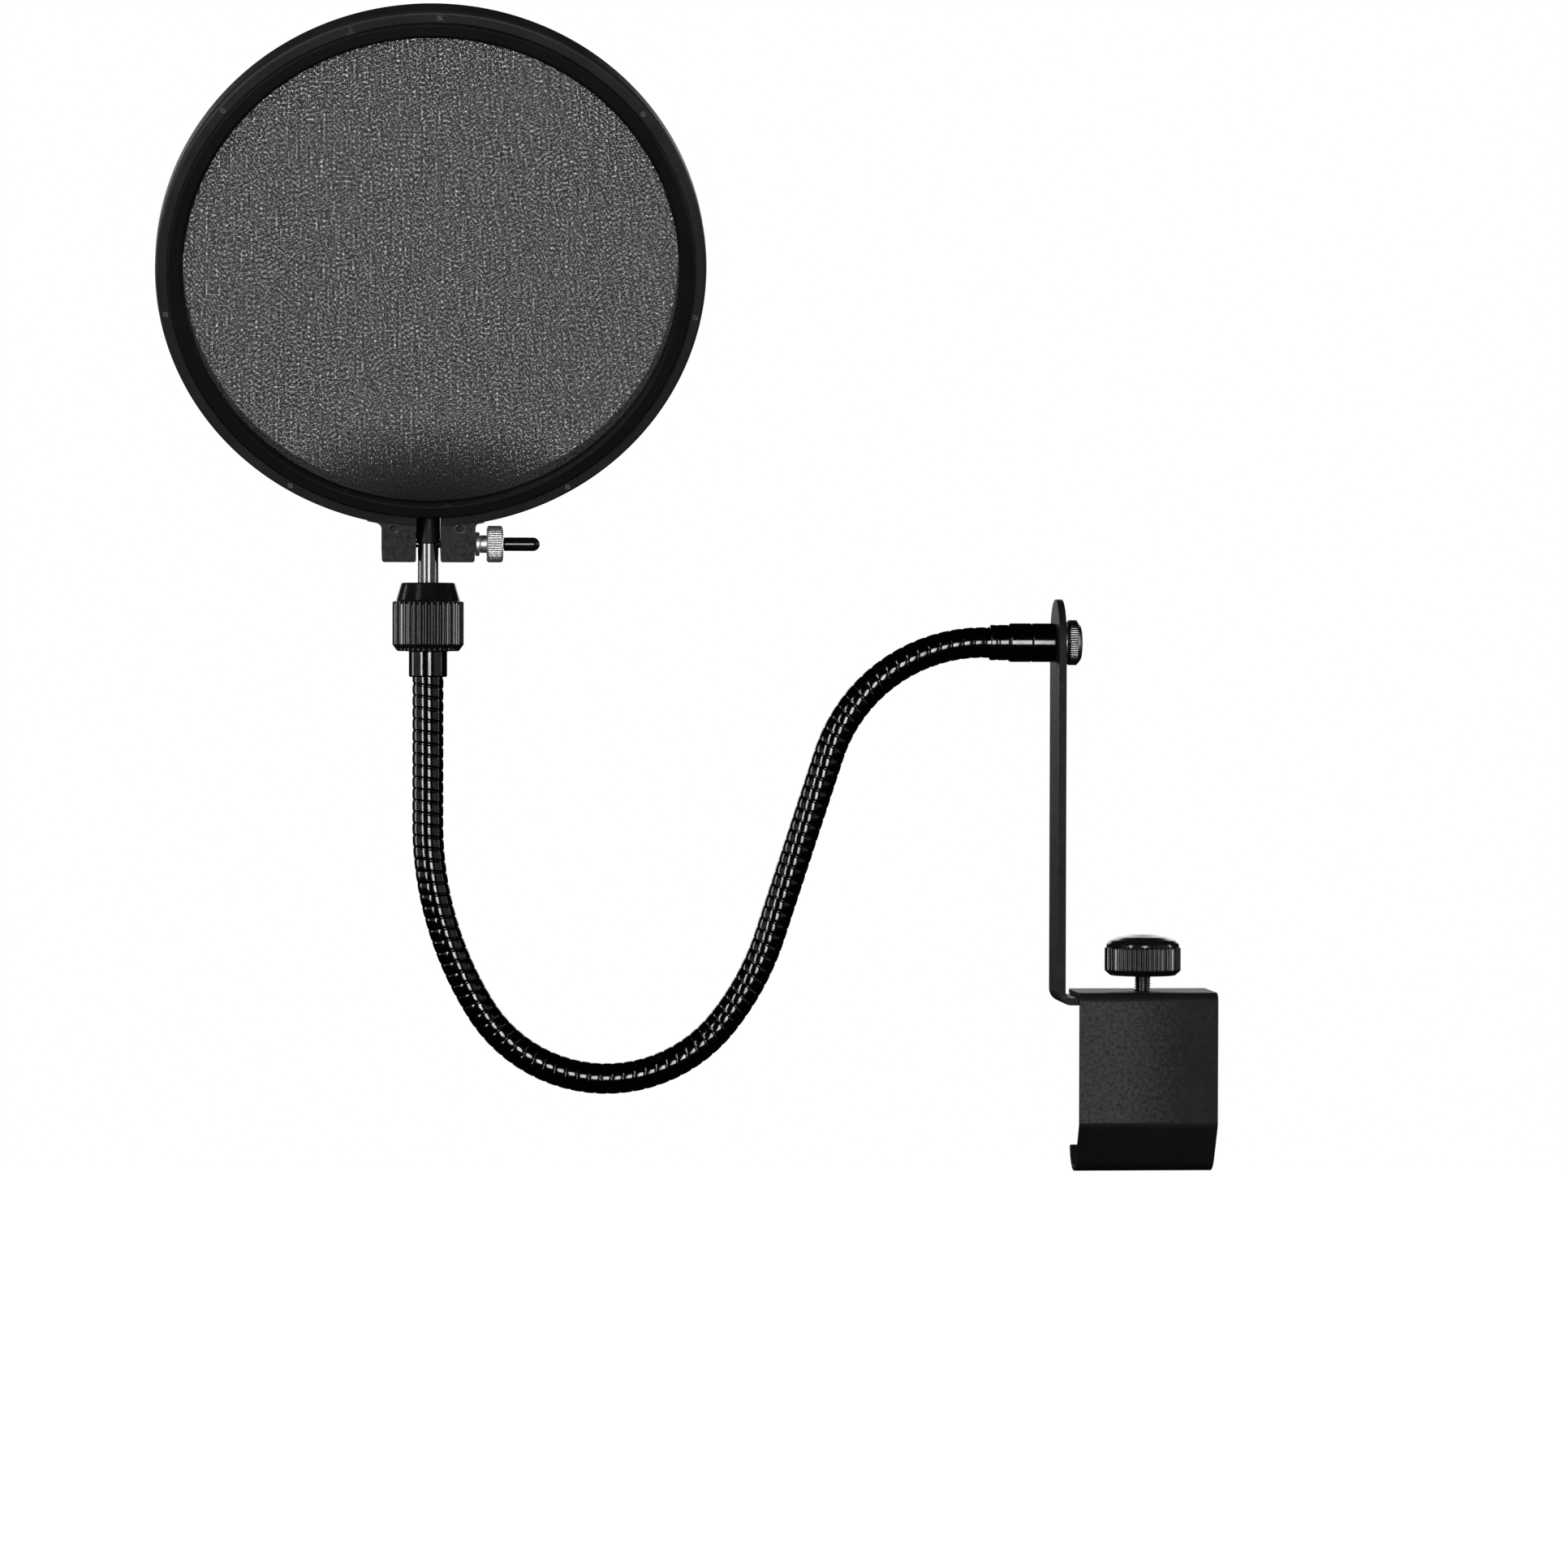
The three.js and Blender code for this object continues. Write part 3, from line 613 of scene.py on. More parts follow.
def bar():
    """The upright with its round top end, and the foot under the flange."""
    half = BAR["sheet"] / 2
    bend = BAR["bend"] + half
    upright = BAR["face"] + half
    foot = FOOT_TOP - half
    round_z = BAR["top"] - BAR["half"]
    left, right = strip((upright, round_z), 270, [
        ("run", round_z - foot - bend), ("turn", 90, bend), ("run", BAR["foot"] - upright - bend),
    ], BAR["sheet"])
    straight = sheet_solid(left, right, BAR["half"], lambda u, v, across: (u, across, v))
    obj = add_object("bar", straight, LOOKS["satin_black"], weighted=False, sharp=0)
    crown = prism(arc((0, round_z), BAR["half"], 180, 0, 48), BAR["face"], BAR["face"] + BAR["sheet"],
                  lambda u, v, d: (d, u, v))
    combine(obj, crown, "UNION", sharp=0)
    work_on(obj, lambda bm: bmesh.ops.dissolve_limit(
        bm, angle_limit=radians(0.5), verts=bm.verts, edges=bm.edges))
    screw_hole = cylinder(CLAMP["hole"], -6, 6, 48)
    pivot_hole = cylinder(THUMB["radius"] + 0.3, -4, 4, 48)
    cut_with(obj, placed(screw_hole, shift(z=foot)), placed(pivot_hole, shift(BAR["face"], 0, ARM_Z) @ ON_X))
    return soften(obj, width=0.3)


def clamp_nut():
    """A chamfered hexagon. Each row is the bore, or is cut back to a share of the half width across flats."""
    corners = 48
    across = NUT["flats"] / 2
    angles = np.arange(corners) * 2 * pi / corners
    from_flat = (angles + pi / 6) % (pi / 3) - pi / 6
    hexagon = across / np.cos(from_flat)
    rows = []
    section = ((None, 0), (0.97, 0), (1.06, 0.5), (1.2, 1.0), (1.2, 3.0), (1.06, 3.5), (0.97, 4), (None, 4))
    for share, z in section:
        r = np.minimum(hexagon, across * share) if share else np.full(corners, NUT["bore"])
        rows.append(np.column_stack((r * np.cos(angles), r * np.sin(angles), np.full(corners, z))))
    part = np.concatenate(rows), grid_faces(len(rows), corners, wrap_rows=True)
    return add_object("nut", part, LOOKS["zinc_plate"], shift(z=FOOT_BOTTOM - GAP - NUT["height"]), sharp=25)


def clamp_screw():
    radius, low, in_knob = SCREW["radius"], SCREW["tip"], SCREW["base"] + 1.5
    outline = rounded([(0, low), (radius, low, 0.5), (radius, in_knob), (0, in_knob)])
    relief = thread(SCREW["pitch"], SCREW["depth"], low + 1.2, in_knob)
    rod = turned(dense(outline, SCREW["pitch"] / 8), 40, relief)
    return add_object("screw", rod, LOOKS["bright_steel"], sharp=0, weighted=False)


def knob():
    """From the bore, out over the underside, up the ribbed grip and in over the dome."""
    base, r = SCREW["base"], SCREW["knob"]
    grip = base + 8.9
    outline = rounded([
        (2.6, base + 1.2), (2.6, base, 0.3), (7.5, base, 0.5), (8.0, base + 0.5, 0.3), (9.3, base + 0.5, 0.3),
        (9.7, base, 0.4), (r - 1.7, base, 0.5), (r, base + 1.5, 0.7), (r, grip - 0.5, 0.25),
        (r - 0.55, grip - 0.2, 0.15), (r - 0.6, grip + 0.9, 0.9), (r - 1.6, grip + 1.9, 0.9),
        (r - 4.4, grip + 2.9, 6), (3.0, grip + 3.7, 6), (0, grip + 3.85),
    ], steps=5)
    relief = ribs(count=48, depth=0.7, low=base + 0.7, high=grip - 0.1, radius_from=r - 1.6, crown=1.5)
    part = turned(dense(outline, step=0.6), sides=480, relief=relief)
    return add_object("knob", part, LOOKS["moulded_black"], sharp=0)


def pad():
    """A thrust pad with dimples round its rim, and a deep recess for the screw's tip."""
    face = SCREW["pad"]
    outline = rounded([
        (0, face), (4.7, face, 0.4), (5, face + 0.6, 0.3), (5, face + 2.6, 0.4), (4.2, face + 3.3, 0.3),
        (4.2, face + 4.6, 0.3), (2.9, face + 4.6, 0.3), (2.8, face + 1.55), (0, face + 1.4),
    ])
    dimples = ribs(count=12, depth=0.18, low=face - 0.1, high=face + 2.4, fade=0.3, radius_from=4.4)
    part = turned(dense(outline, step=0.5), sides=144, relief=dimples)
    return add_object("pad", part, LOOKS["moulded_black"], sharp=50)


show(bracket(), "clamp", ["clamp_bracket"])
show(bar(), "clamp", ["arm_bar"])
show(clamp_nut(), "clamp", ["clamp_nut"])
show(clamp_screw(), "clamp_screw", ["clamp_screw"])
show(knob(), "clamp_screw", ["clamp_knob"])
show(pad(), "clamp_pad", ["clamp_pad"])


# ---------------- arm swivel

def thumbscrew():
    """A knurled coin head with a dished face, and its threaded shank."""
    r, start, end, shank = THUMB["head"], THUMB["start"], THUMB["end"], THUMB["radius"]
    outline = rounded([
        (shank, start - 0.4), (shank, start), (r - 0.6, start, 0.3), (r, start + 0.5, 0.4),
        (r, end - 1.4, 0.5), (r - 1.3, end - 0.3, 0.5), (r - 1.9, end, 0.4), (4.3, end, 0.3),
        (3.9, end - 0.35, 0.2), (0, end - 0.35),
    ])
    knurl = ribs(count=56, depth=0.2, low=start + 0.3, high=end - 1.2, fade=0.4, radius_from=r - 0.3)
    head = turned(dense(outline, step=0.4), sides=448, relief=knurl)
    low = BOSS["start"] + 3
    rod = dense(rounded([(0, low), (shank, low, 0.5), (shank, start - 0.3)]), SCREW["pitch"] / 8)
    shaft = turned(rod, 32, thread(SCREW["pitch"], SCREW["depth"], low + 1, start))
    return add_object("thumb_head", merged(head, shaft), LOOKS["nickel"], ON_SWIVEL, sharp=0)


def washer(name, inner, outer, low, high, place):
    outline = rounded([
        (inner, low, 0.1), (outer, low, 0.25), (outer, high, 0.25), (inner, high, 0.1),
        (inner, (low + high) / 2),
    ])
    return add_object(name, turned(outline, 96, closed=True), LOOKS["zinc_plate"], place, sharp=45)


def boss():
    low, high, r, bore = BOSS["joint"] + GAP / 2, BAR["face"] - GAP, BOSS["radius"], BOSS["bore"]
    outline = rounded([
        (bore, low, 0.1), (r, low, 0.35), (r, high, 0.35), (bore, high, 0.1), (bore, (low + high) / 2),
    ], steps=6)
    return add_object("boss", turned(outline, 96, closed=True), LOOKS["gloss_black_metal"], ON_SWIVEL)


def adapter():
    low, high, r, bore = BOSS["start"], BOSS["joint"] - GAP / 2, BOSS["radius"], BOSS["bore"]
    outline = rounded([
        (0, low), (r - 0.5, low, 0.3), (r, low + 0.7, 0.6), (r, high, 0.35), (bore, high, 0.1),
        (bore, low + 2.5), (0, low + 2.5),
    ], steps=6)
    return add_object("adapter", turned(outline, 96), LOOKS["gloss_black_metal"], ON_SWIVEL)


def ferrule_low():
    """A sleeve with one crimped groove."""
    low, high, r = BOSS["ferrule_start"], BOSS["start"] - GAP, BOSS["ferrule"]
    inner = NECK["radius"] + GAP
    outline = rounded([
        (inner, low, 0.1), (r, low, 0.45), (r, low + 1.5, 1), (r - 0.12, low + 2.0, 1),
        (r - 0.12, low + 2.4, 1), (r, low + 2.9, 1), (r, high, 0.4), (inner, high, 0.1),
        (inner, (low + high) / 2),
    ], steps=5)
    return add_object("ferrule_low", turned(outline, 96, closed=True), LOOKS["gloss_black_metal"], ON_SWIVEL)


show(thumbscrew(), "thumbscrew", ["thumbscrew"])
thumb_washer = washer("thumb_washer", BOSS["bore"], THUMB["washer"], BAR["face"] + BAR["sheet"] + GAP,
                      THUMB["start"] - GAP, ON_SWIVEL)
show(thumb_washer, "thumbscrew_washer", ["thumbscrew_washer"])
show(boss(), "swivel", ["swivel_boss"])
show(adapter(), "swivel", ["neck_adapter"])
show(ferrule_low(), "swivel", ["lower_ferrule"])


# ---------------- gooseneck

# Radius and headings of each bend of the arm's line, from the swivel up to the collar.
BENDS = ((50, 180, 252), (85, 252, 231), (45.5, 231, 122), (107, 122, 90))


def advance(length, start, end, distance):
    """How far a stretch of the arm's line goes in X and Z."""
    a = radians(start)
    if start == end:
        return distance * cos(a), distance * sin(a)
    radius = length / radians(end - start)
    b = a + distance / radius
    return radius * (sin(b) - sin(a)), radius * (cos(a) - cos(b))


def neck_route():
    """(length, heading at the start, heading at the end) of each stretch. Two straights close the line."""
    bends = [(radius * radians(abs(end - start)), start, end) for radius, start, end in BENDS]
    lead = (NECK["lead"], 180, 180)
    gone = np.sum([advance(*part, part[0]) for part in (lead, *bends)], axis=0)
    heading = bends[0][2]
    slope = radians(heading)
    middle = (STEM_X - BOSS["ferrule_start"] - gone[0]) / cos(slope)
    last = UPPER_FERRULE["bottom"] - ARM_Z - gone[1] - middle * sin(slope)
    return [lead, bends[0], (middle, heading, heading), *bends[1:], (last, 90, 90)]


ROUTE = neck_route()
NECK_LENGTH = sum(part[0] for part in ROUTE)
SPACING = NECK_LENGTH / (NECK["links"] - 1)


def neck_at(distance):
    """(x, z, heading in radians) at a distance along the arm."""
    x, z, left = BOSS["ferrule_start"], ARM_Z, distance
    for i, (length, start, end) in enumerate(ROUTE):
        step = left if left <= length or i == len(ROUTE) - 1 else length
        dx, dz = advance(length, start, end, step)
        x, z, left = x + dx, z + dz, left - step
        if left <= 0:
            break
    share = step / length if length else 0
    heading = start + (end - start) * min(max(share, 0), 1)
    return x, z, radians(heading)


def coil(start, end):
    """The wound skin of the arm between two distances."""
    sides, per_pitch = 56, 16
    step = NECK["pitch"] / per_pitch
    first, last = ceil(start / step + 0.01), floor(end / step - 0.01)  # clear of both ends
    marks = [start, *np.arange(first, last + 1) * step, end]
    angles = np.arange(sides) * 2 * pi / sides
    rows = []
    for distance in marks:
        x, z, heading = neck_at(distance)
        turn = distance / NECK["pitch"] + angles / (2 * pi)
        from_groove = np.abs(turn - np.round(turn)) * NECK["pitch"]  # the one between two windings
        crown = NECK["crown"] * (1 - 2 * from_groove / NECK["pitch"]) ** 2
        groove = NECK["groove"] * np.exp(-(from_groove / NECK["groove_width"]) ** 2)
        r = NECK["radius"] - crown - groove
        up = np.array((-sin(heading), 0, cos(heading)))
        side = np.array((0, 1, 0))
        ring = np.outer(r * np.cos(angles), side) + np.outer(r * np.sin(angles), up)
        rows.append(np.array((x, 0, z)) + ring)
    return np.concatenate(rows), grid_faces(len(rows), sides)


for i in range(NECK["links"] - 1):
    first, last = i == 0, i == NECK["links"] - 2
    start = -NECK["tuck"] if first else i * SPACING
    end = NECK_LENGTH + NECK["tuck"] if last else (i + 1) * SPACING
    piece = add_object(f"coil_{i + 1}", coil(start, end), LOOKS["gloss_black_metal"], sharp=0, weighted=False)
    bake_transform(piece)
    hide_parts(f"gooseneck_{i + 1}", *([f"gooseneck_{i + 2}"] if last else []))


# ---------------- collet, stem

def ferrule_high():
    """A crimp sleeve with a threaded spigot on top."""
    low, high, r = UPPER_FERRULE["bottom"], UPPER_FERRULE["top"], UPPER_FERRULE["radius"]
    spigot, end = UPPER_FERRULE["spigot"], high + UPPER_FERRULE["spigot_length"]
    inner = NECK["radius"] + GAP
    outline = rounded([
        (inner, low, 0.1), (r, low, 0.5), (r, high, 0.2), (spigot, high, 0.1), (spigot, end, 0.3),
        (3.5, end, 0.1), (3.5, low + 3.9), (inner, low + 3.9),
    ], steps=5)
    relief = thread(1.0, 0.3, high + 0.2, high + 5.6)

    def only_spigot(angles, radius, z):
        return relief(angles, radius, z) if radius > 6.3 and z > high + 0.2 else 0 * angles

    part = turned(dense(outline, step=0.3), sides=72, relief=only_spigot, closed=True)
    return add_object("ferrule_high", part, LOOKS["gloss_black_metal"], ON_STEM, sharp=50)


def collar():
    """From the bore, down and out under the nut, up its ribbed skirt and in over the cone."""
    bottom, shoulder, top = COLLAR["bottom"], COLLAR["shoulder"], COLLAR["top"]
    outline = rounded([
        (6.9, 163.4), (6.9, bottom + 0.6), (7.2, bottom, 0.3), (9.4, bottom, 0.6), (10.9, bottom + 2.0, 0.6),
        (10.9, shoulder - 0.25, 0.25), (10.3, shoulder, 0.2), (9.95, shoulder, 0.15), (8.3, top, 0.35),
        (4.4, top, 0.3), (4.05, top - 0.5, 0.2), (4.05, 169), (4.9, 169), (6.9, 163.4),
    ])
    relief = ribs(count=36, depth=0.95, low=bottom + 0.2, high=shoulder + 0.05, fade=0.6, radius_from=9.2,
                  crown=1.8)
    part = turned(dense(outline, step=0.5), sides=432, relief=relief)
    return add_object("collar", part, LOOKS["moulded_black"], ON_STEM, sharp=0)


def cross_drilled(obj):
    """Makes room in a piece for the tension screw."""
    cut_with(obj, placed(cylinder(TENSION["drilled"], -6, 6), ON_PIVOT @ ON_X))
    smooth(obj, 40)
    return obj


def stem():
    low, high, r = STEM["low"] - PIVOT_Z, STEM["above_pivot"], STEM["radius"]
    outline = rounded([(0, low), (r, low, 0.5), (r, high, 1.4), (0, high)], steps=6)
    rod = turned(dense(outline, step=2.0), sides=96)
    return cross_drilled(add_object("stem_rod", rod, LOOKS["bright_steel"], ON_PIVOT))


def sleeve():
    """A domed sleeve over the stem's top, from the pivot's height up."""
    r, bore, top = SLEEVE["radius"], SLEEVE["bore"], SLEEVE["top"]
    outline = rounded([
        (bore, 0.3), (bore, 0.0), (3.5, 0.0, 0.1), (r, 0.3, 0.3), (r, top - 0.9, 0.5),
        (r - 0.5, top - 0.3, 0.9), (r - 1.6, top, 2.0), (0, top), (0, 7.2), (bore, 7.2), (bore, 0.3),
    ], steps=5)
    return cross_drilled(add_object("sleeve", turned(outline, 72), LOOKS["dull_vinyl"], ON_PIVOT, sharp=60))


show(ferrule_high(), "neck_top", ["upper_ferrule"])
show(collar(), "collar_nut", ["collar_nut"])
show(stem(), "stem", ["stem"])
show(sleeve(), "stem", ["stem_sleeve"])


# ---------------- head

def hoop_arc(radius, x):
    """Height above the pivot of a point on a circle round the hoop's centre, at its lower side."""
    return CENTRE - sqrt(radius ** 2 - x ** 2)


def outer_band():
    """The split band of the outer hoop, from one side of the slot to the other."""
    r, inner, d = HOOP["outer"], HOOP["groove"], HOOP["half"]
    section = rounded([
        (inner, -d + 0.5), (inner, -d, 0.2), (r - 0.3, -d, 0.9), (r, -d + 1.6, 2.5), (r, d - 1.6, 2.5),
        (r - 0.3, d, 0.9), (inner, d, 0.2), (inner, -d + 0.5),
    ], 6)[:-1]
    half_slot = asin(EAR["gap"] / ((r + inner) / 2))
    angles = np.linspace(half_slot, 2 * pi - half_slot, 361)
    rows = []
    for a in angles:
        out = np.array((sin(a), 0, -cos(a)))
        rows.append([out * radius + np.array((0, y, CENTRE)) for radius, y in section])
    n = len(section)
    faces = grid_faces(len(rows), n)
    faces += [tuple(range(n)), tuple((len(rows) - 1) * n + i for i in reversed(range(n)))]
    return np.concatenate(rows), faces


def ear_outline(side):
    """One ear of the outer hoop in the head's own X and Z, with a fillet where it meets the hoop's rim."""
    gap, out, low, top, root = EAR["gap"], EAR["outside"], EAR["bottom"], EAR["top"], EAR["root"]
    fillet, foot = EAR_FILLETS[side]
    rim = HOOP["outer"] - 0.05
    end = out + foot
    points = [
        (gap, low, 0.7), (out - EAR["taper"], low, 0.9), (out, hoop_arc(rim, out), fillet),
        (end, hoop_arc(rim, end)), (end - 0.4, hoop_arc(root, end - 0.4)),
    ]
    curve = [(x, hoop_arc(root, x)) for x in np.linspace(out, gap, 8)]
    outline = rounded([(gap, top), *points, *curve, (gap, top)], steps=5)[:-1]
    return [(side * x, z) for x, z in (outline if side > 0 else outline[::-1])]


def ear(side):
    """An ear with the tension screw's hole and a pit. The left one also has a pocket for the screw's head."""
    d = HOOP["half"] - EAR["inset"]
    obj = add_object(
        "ear_right" if side > 0 else "ear_left", prism(ear_outline(side), -d, d, lambda u, v, y: (u, y, v)),
        LOOKS["hoop_plastic"], weighted=False, sharp=0)
    tools = [placed(cylinder(TENSION["bore"], -30, 30), ON_X)]
    if side < 0:
        pocket = cylinder(TENSION["pocket"], -30, TENSION["sunk"] - EAR["outside"], 40)
        tools.append(placed(pocket, ON_X))
    dimple = turned([(0, -1.2), (0.8, -1.0), (1.3, 0.0), (1.4, 0.6), (0, 0.6)], 32)
    pit_x, pit_z = EAR_PITS[side]
    tools.append(placed(dimple, shift(pit_x, -d, pit_z) @ ON_Y))
    cut_with(obj, *tools)
    soften(obj, width=0.45, segments=4, angle=32)
    obj.matrix_world = in_metres(HEAD)
    return obj


def mould_marks_and_glint_rims():
    """Small ring marks of the mould's pins on the front of the outer hoop, and rims round its ears' pits,
    whose light colour is a painted glint.
    """
    ring, pip, rim = (turned(rounded(profile, 3), 32) for profile in (
        [(0.25, -0.1), (0.4, 0.02), (0.5, 0.07, 0.05), (0.8, 0.07, 0.05), (0.95, -0.1)],
        [(0, 0.02), (0.28, 0.0), (0.36, -0.1)],
        [(1.25, -0.1), (1.3, 0.06, 0.05), (1.62, 0.06, 0.05), (1.75, -0.1)],
    ))
    out = HOOP["outer"] - MARK_INSET
    parts = []
    for angle in MARK_ANGLES:
        a = radians(angle)
        spot = shift(out * cos(a), -HOOP["half"], CENTRE + out * sin(a))
        parts.append(placed(merged(ring, pip), spot @ ON_Y))
    # The rims round the ears' pits are lighter as a painted glint.
    for x, z in EAR_PITS.values():
        parts.append(placed(rim, shift(x, EAR["inset"] - HOOP["half"], z) @ ON_Y))
    return merged(*parts)


def inner_ring():
    """The hoop that holds the cloth, with a shallow groove inside."""
    front, back, inner, outer = INNER["front"], INNER["back"], HOOP["mesh"], INNER["outer"]
    outline = rounded([
        (inner + 0.3, -1.5), (inner, -back + 0.4, 0.3), (inner + 0.5, -back, 0.3), (outer - 0.3, -back, 0.4),
        (outer, -back + 0.6, 0.4), (outer, front - 0.7, 0.5), (outer - 0.6, front, 0.5),
        (inner + 1.0, front, 0.7), (inner, front - 1.1, 0.7), (inner, 1.5, 0.3), (inner + 0.3, -1.5),
    ], 5)[:-1]
    return add_object("hoop_inner", turned(outline, 360, closed=True), LOOKS["inner_hoop"], ON_HOOP, sharp=60)


def tension_screw():
    """A socket head in the left ear's pocket, and a rod through the stem to the cap."""
    low, r, head_r = -EAR["outside"] + 0.2, TENSION["radius"], TENSION["head"]
    head = rounded([
        (0, low + 0.9), (1.15, low + 0.9), (1.2, low + 0.02, 0.05), (2.3, low, 0.4), (head_r, low + 0.6, 0.4),
        (head_r, low + 1.9, 0.1), (r, low + 1.9), (r, low + 3),
    ])
    rod = rounded([(r, low + 2.5), (r, TENSION["end"], 0.3), (0, TENSION["end"])])
    relief = thread(TENSION["pitch"], TENSION["depth"], 2, 32)
    shaft = turned(dense(rod, TENSION["pitch"] / 6), 24, relief)
    return add_object("tension_rod", merged(turned(head, 48), shaft), LOOKS["bright_steel"], ON_TENSION_SCREW,
                      sharp=45)


def tension_nut():
    """A narrow hub and a knurled disc."""
    outline = rounded([
        (1.7, 15.75, 0.1), (2.7, 15.75, 0.25), (2.7, 17.85, 0.2), (5.1, 17.85, 0.3), (5.6, 18.3, 0.3),
        (5.6, 22.35, 0.3), (5.1, 22.8, 0.3), (3.0, 22.8, 0.3), (2.7, 22.5, 0.2), (1.7, 22.5, 0.1), (1.7, 19),
    ])
    knurl = ribs(count=44, depth=0.22, low=18.1, high=22.55, fade=0.35, radius_from=5.3)
    part = turned(dense(outline, step=0.4), sides=352, relief=knurl, closed=True)
    return add_object("knurled_nut", part, LOOKS["zinc_plate"], ON_TENSION_SCREW, sharp=0)


def cap():
    """A thin vinyl cap with a round nose."""
    start, end, r, bore = CAP["start"], CAP["end"], CAP["radius"], CAP["bore"]
    nose = [(y, x) for x, y in arc((end - r, 0), r, 90, 0, 12)]
    outline = np.array([
        (bore, start + 0.3), (1.75, start + 0.05), (1.95, start), (2.07, start + 0.1), (r, start + 0.35),
        *nose[:-1], (0, end), (0, end - 1.2), (bore, end - 1.2), (bore, start + 0.6),
    ])
    return add_object("vinyl_cap", turned(outline, 48), LOOKS["black_vinyl"], ON_TENSION_SCREW, sharp=60)


def screen(name, depth, look):
    """A stretched disc of cloth, with faint pull lines towards its rim."""
    radius, rings, sides = HOOP["mesh"] + SCREEN["hem"], SCREEN["rings"], SCREEN["sides"]
    angles = np.arange(sides) * 2 * pi / sides
    phases = RANDOM.uniform(0, 2 * pi, 4)
    lines = sum(np.cos(n * angles + phase) for n, phase in zip(SCREEN["waves"], phases)) * SCREEN["pull"]
    points = [(0, 0, 0)]
    for k in range(1, rings + 1):
        r = radius * k / rings
        pull = lines * (k / rings) ** 4 if k < rings else 0 * lines
        points += np.column_stack((r * np.cos(angles), r * np.sin(angles), pull)).tolist()
    faces = [(0, 1 + i, 1 + (i + 1) % sides) for i in range(sides)]
    faces += [tuple(1 + j for j in face) for face in grid_faces(rings, sides)]
    disc = np.array(points), faces
    obj = add_object(name, disc, LOOKS[look], ON_HOOP @ shift(z=depth), sharp=0, weighted=False)
    show(obj, "head", [name.replace("cloth", "screen")])


# The band's own points are tilted with the head, since a box round a tilted object's box would be too big.
band = add_object("hoop_band", placed(outer_band(), HEAD), LOOKS["hoop_plastic"], sharp=50)
show(band, "head", ["outer_hoop"])
for side in (-1, 1):
    show(ear(side), "head", [])
show(add_object("mould_marks_and_glint_rims", mould_marks_and_glint_rims(), LOOKS["pin_marks_and_glint"], HEAD, sharp=0), "head", [])
show(inner_ring(), "head", ["inner_hoop"])
screen("front_cloth", SCREEN["offset"], "mesh_cloth")
screen("rear_cloth", -SCREEN["offset"], "rear_cloth")
show(tension_screw(), "head", ["tension_screw"])
tension_washer = washer("tension_washer_disc", 1.7, 3.65, 14.4, 15.65, ON_TENSION_SCREW)
show(tension_washer, "tension_washer", ["tension_washer"])
show(cap(), "tension_washer", ["tension_screw_cap"])
show(tension_nut(), "tension_nut", ["tension_nut"])


# ---------------- studio

def plain_material(name, colour, glow):
    """A matt material that glows white."""
    look = Look(name, colour, 0.9)
    look.set("Emission Color", (1, 1, 1, 1))
    look.set("Emission Strength", glow)
    return look.material


def stage_object(name, part, material):
    """Something to stand before, that sends no light to the object and no reflection."""
    obj = add_object(name, part, material, weighted=False, sharp=0)
    for ray in ("visible_diffuse", "visible_glossy", "visible_transmission"):
        setattr(obj, ray, False)
    return obj


FLOOR_Z, DOME_R = -300.0, 3600
stage_object("floor", turned([(0, FLOOR_Z), (DOME_R, FLOOR_Z)], 96), plain_material("floor", 0.8, 1.0))
dome_profile = np.array(arc((0, FLOOR_Z), DOME_R, -2, 90, 24))
dome = stage_object("backdrop", turned(dome_profile, 96), plain_material("backdrop", 0.0, 1.0))
dome.visible_shadow = False

world = bpy.data.worlds.new("studio")
world.use_nodes = True
world.node_tree.nodes["Background"].inputs["Color"].default_value = (1, 1, 1, 1)
world.node_tree.nodes["Background"].inputs["Strength"].default_value = 0.008
bpy.context.scene.world = world

TARGET = Vector((-0.11, 0, 0.15))  # metres, as are the lights' distances and sizes


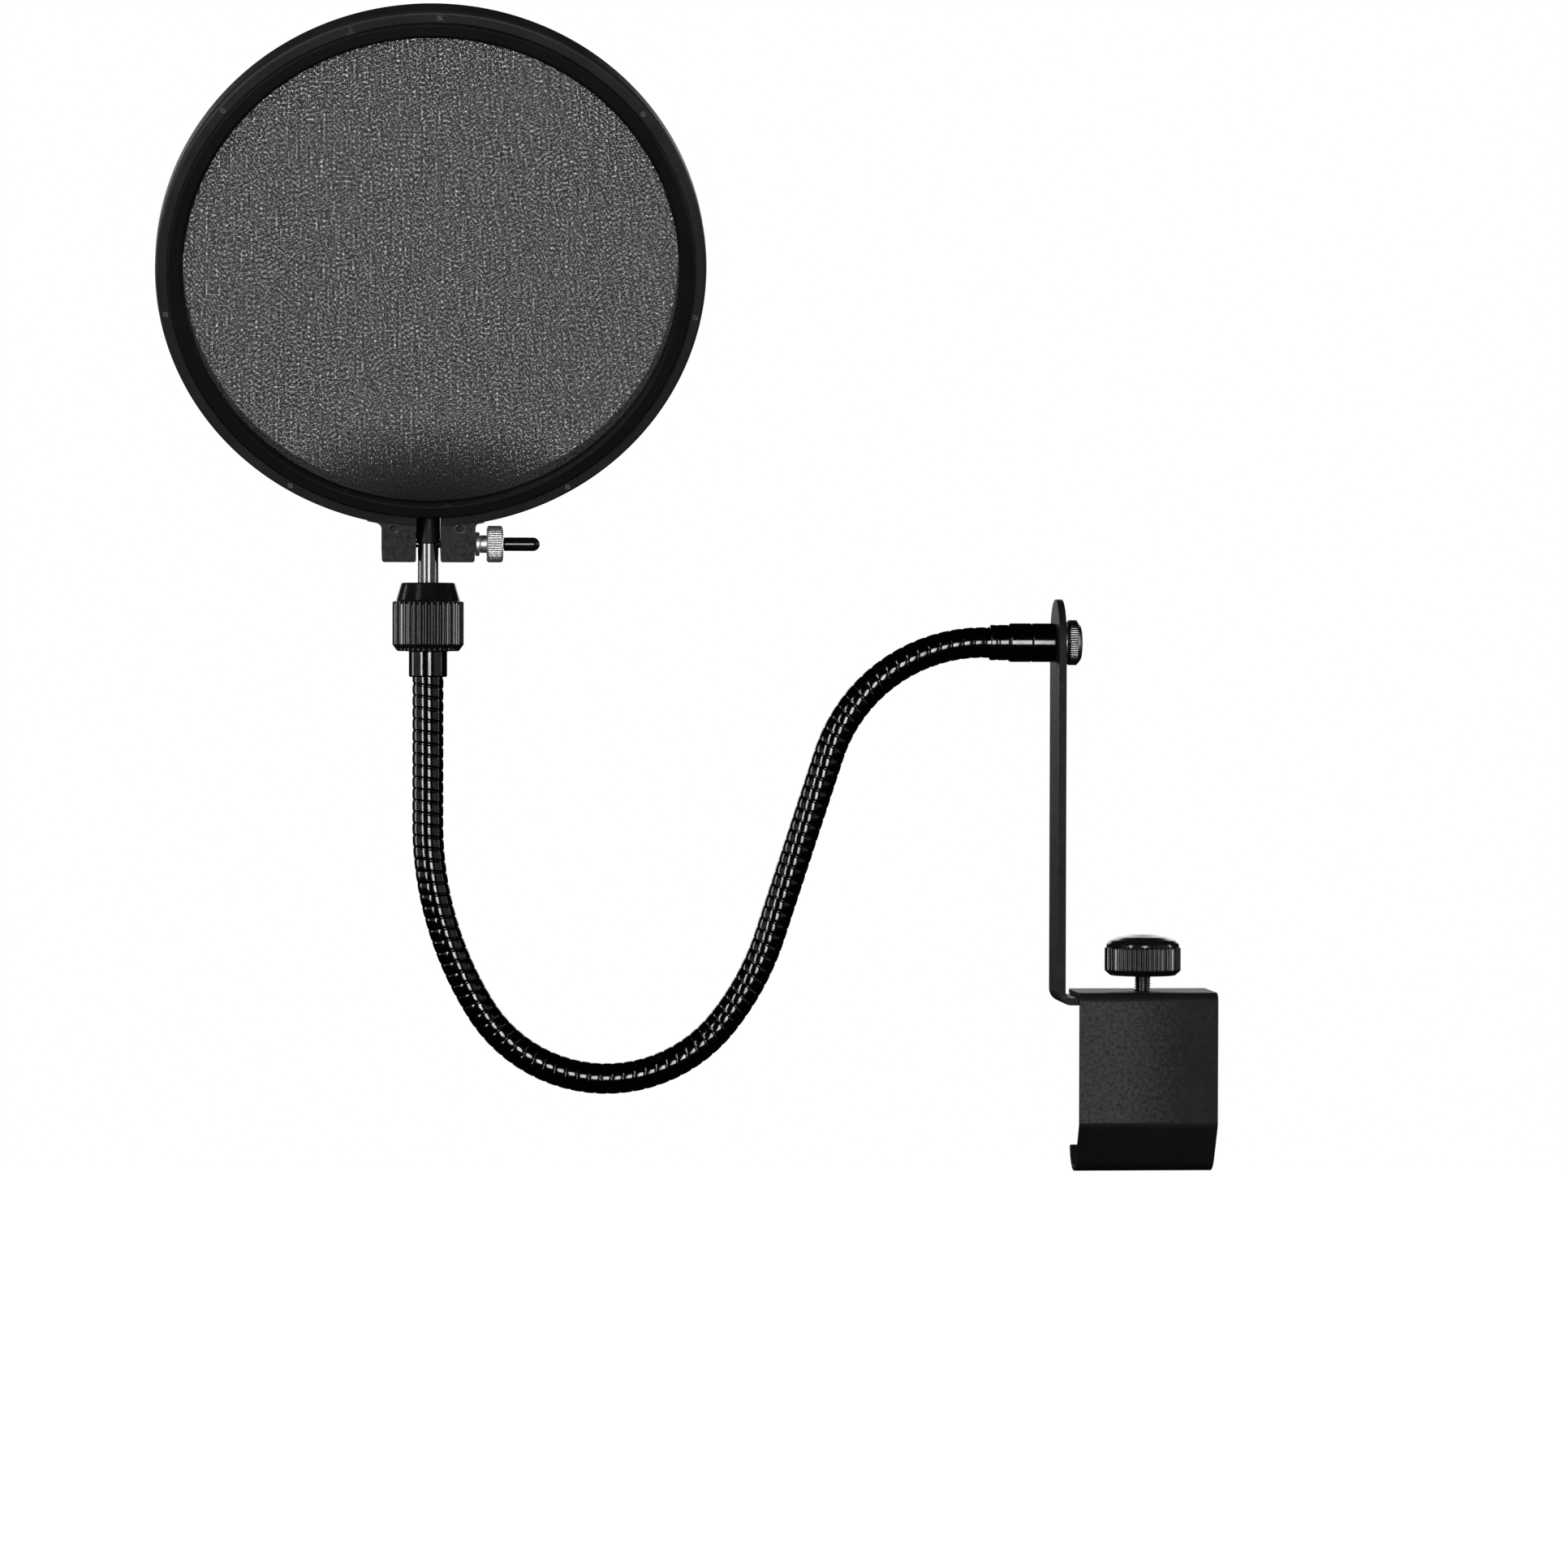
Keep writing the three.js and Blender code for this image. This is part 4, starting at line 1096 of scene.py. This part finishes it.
def softbox(name, azimuth, elevation, distance, width, height, radiance, in_gloss=True):
    """A soft area light that looks at the object. Azimuth 0 is the -Y side and 90 is +X."""
    a, e = radians(azimuth), radians(elevation)
    data = bpy.data.lights.new(name, "AREA")
    data.shape, data.size, data.size_y = "RECTANGLE", width, height
    data.energy = radiance * pi * width * height
    lamp = bpy.data.objects.new(name, data)
    offset = Vector((sin(a) * cos(e), -cos(a) * cos(e), sin(e)))
    lamp.location = TARGET + offset * distance
    lamp.rotation_euler = (-offset).to_track_quat("-Z", "Y").to_euler()
    lamp.visible_camera = False
    lamp.visible_glossy = in_gloss
    bpy.context.scene.collection.objects.link(lamp)


# Name, azimuth, elevation, distance, width, height and radiance.
for lamp in (
    ("key_left", -44, 8, 1.6, 0.26, 1.1, 11),
    ("key_front", 4, 1, 1.6, 0.4, 0.6, 11),
    ("rim_left", -104, 4, 1.5, 0.22, 0.8, 6),
    ("rim_right", 90, 4, 1.5, 0.22, 0.8, 6),
    ("broad_left", -88, 3, 1.4, 1.9, 0.7, 0.3),
    ("broad_right", 56, 3, 1.5, 1.5, 0.7, 0.3),
    ("fill_front", -10, 25, 1.7, 1.4, 1.4, 1.2, False),
    ("fill_top", 170, 65, 1.7, 1.4, 1.0, 0.8, False),
    ("back", 180, 12, 2.0, 2.4, 0.8, 1.6),
):
    softbox(*lamp)

# The camera stands where the photograph was taken from: far back, and a little left of the stem.
LENS = 149.36
STAND = Vector((-0.269, -1.9901, 0.1562))
DOWN, RIGHT, ROLL = 1.334, 4.536, 0.136  # degrees
camera_data = bpy.data.cameras.new("camera")
camera_data.sensor_width, camera_data.lens = 36, LENS
camera_data.clip_start, camera_data.clip_end = 0.01, 20
camera = bpy.data.objects.new("camera", camera_data)
facing = Matrix.Rotation(radians(-RIGHT), 4, "Z") @ Matrix.Rotation(radians(90 - DOWN), 4, "X")
camera.matrix_world = Matrix.Translation(STAND) @ facing @ Matrix.Rotation(radians(ROLL), 4, "Z")
bpy.context.scene.collection.objects.link(camera)
bpy.context.scene.camera = camera
bpy.context.scene.view_settings.view_transform = "Standard"
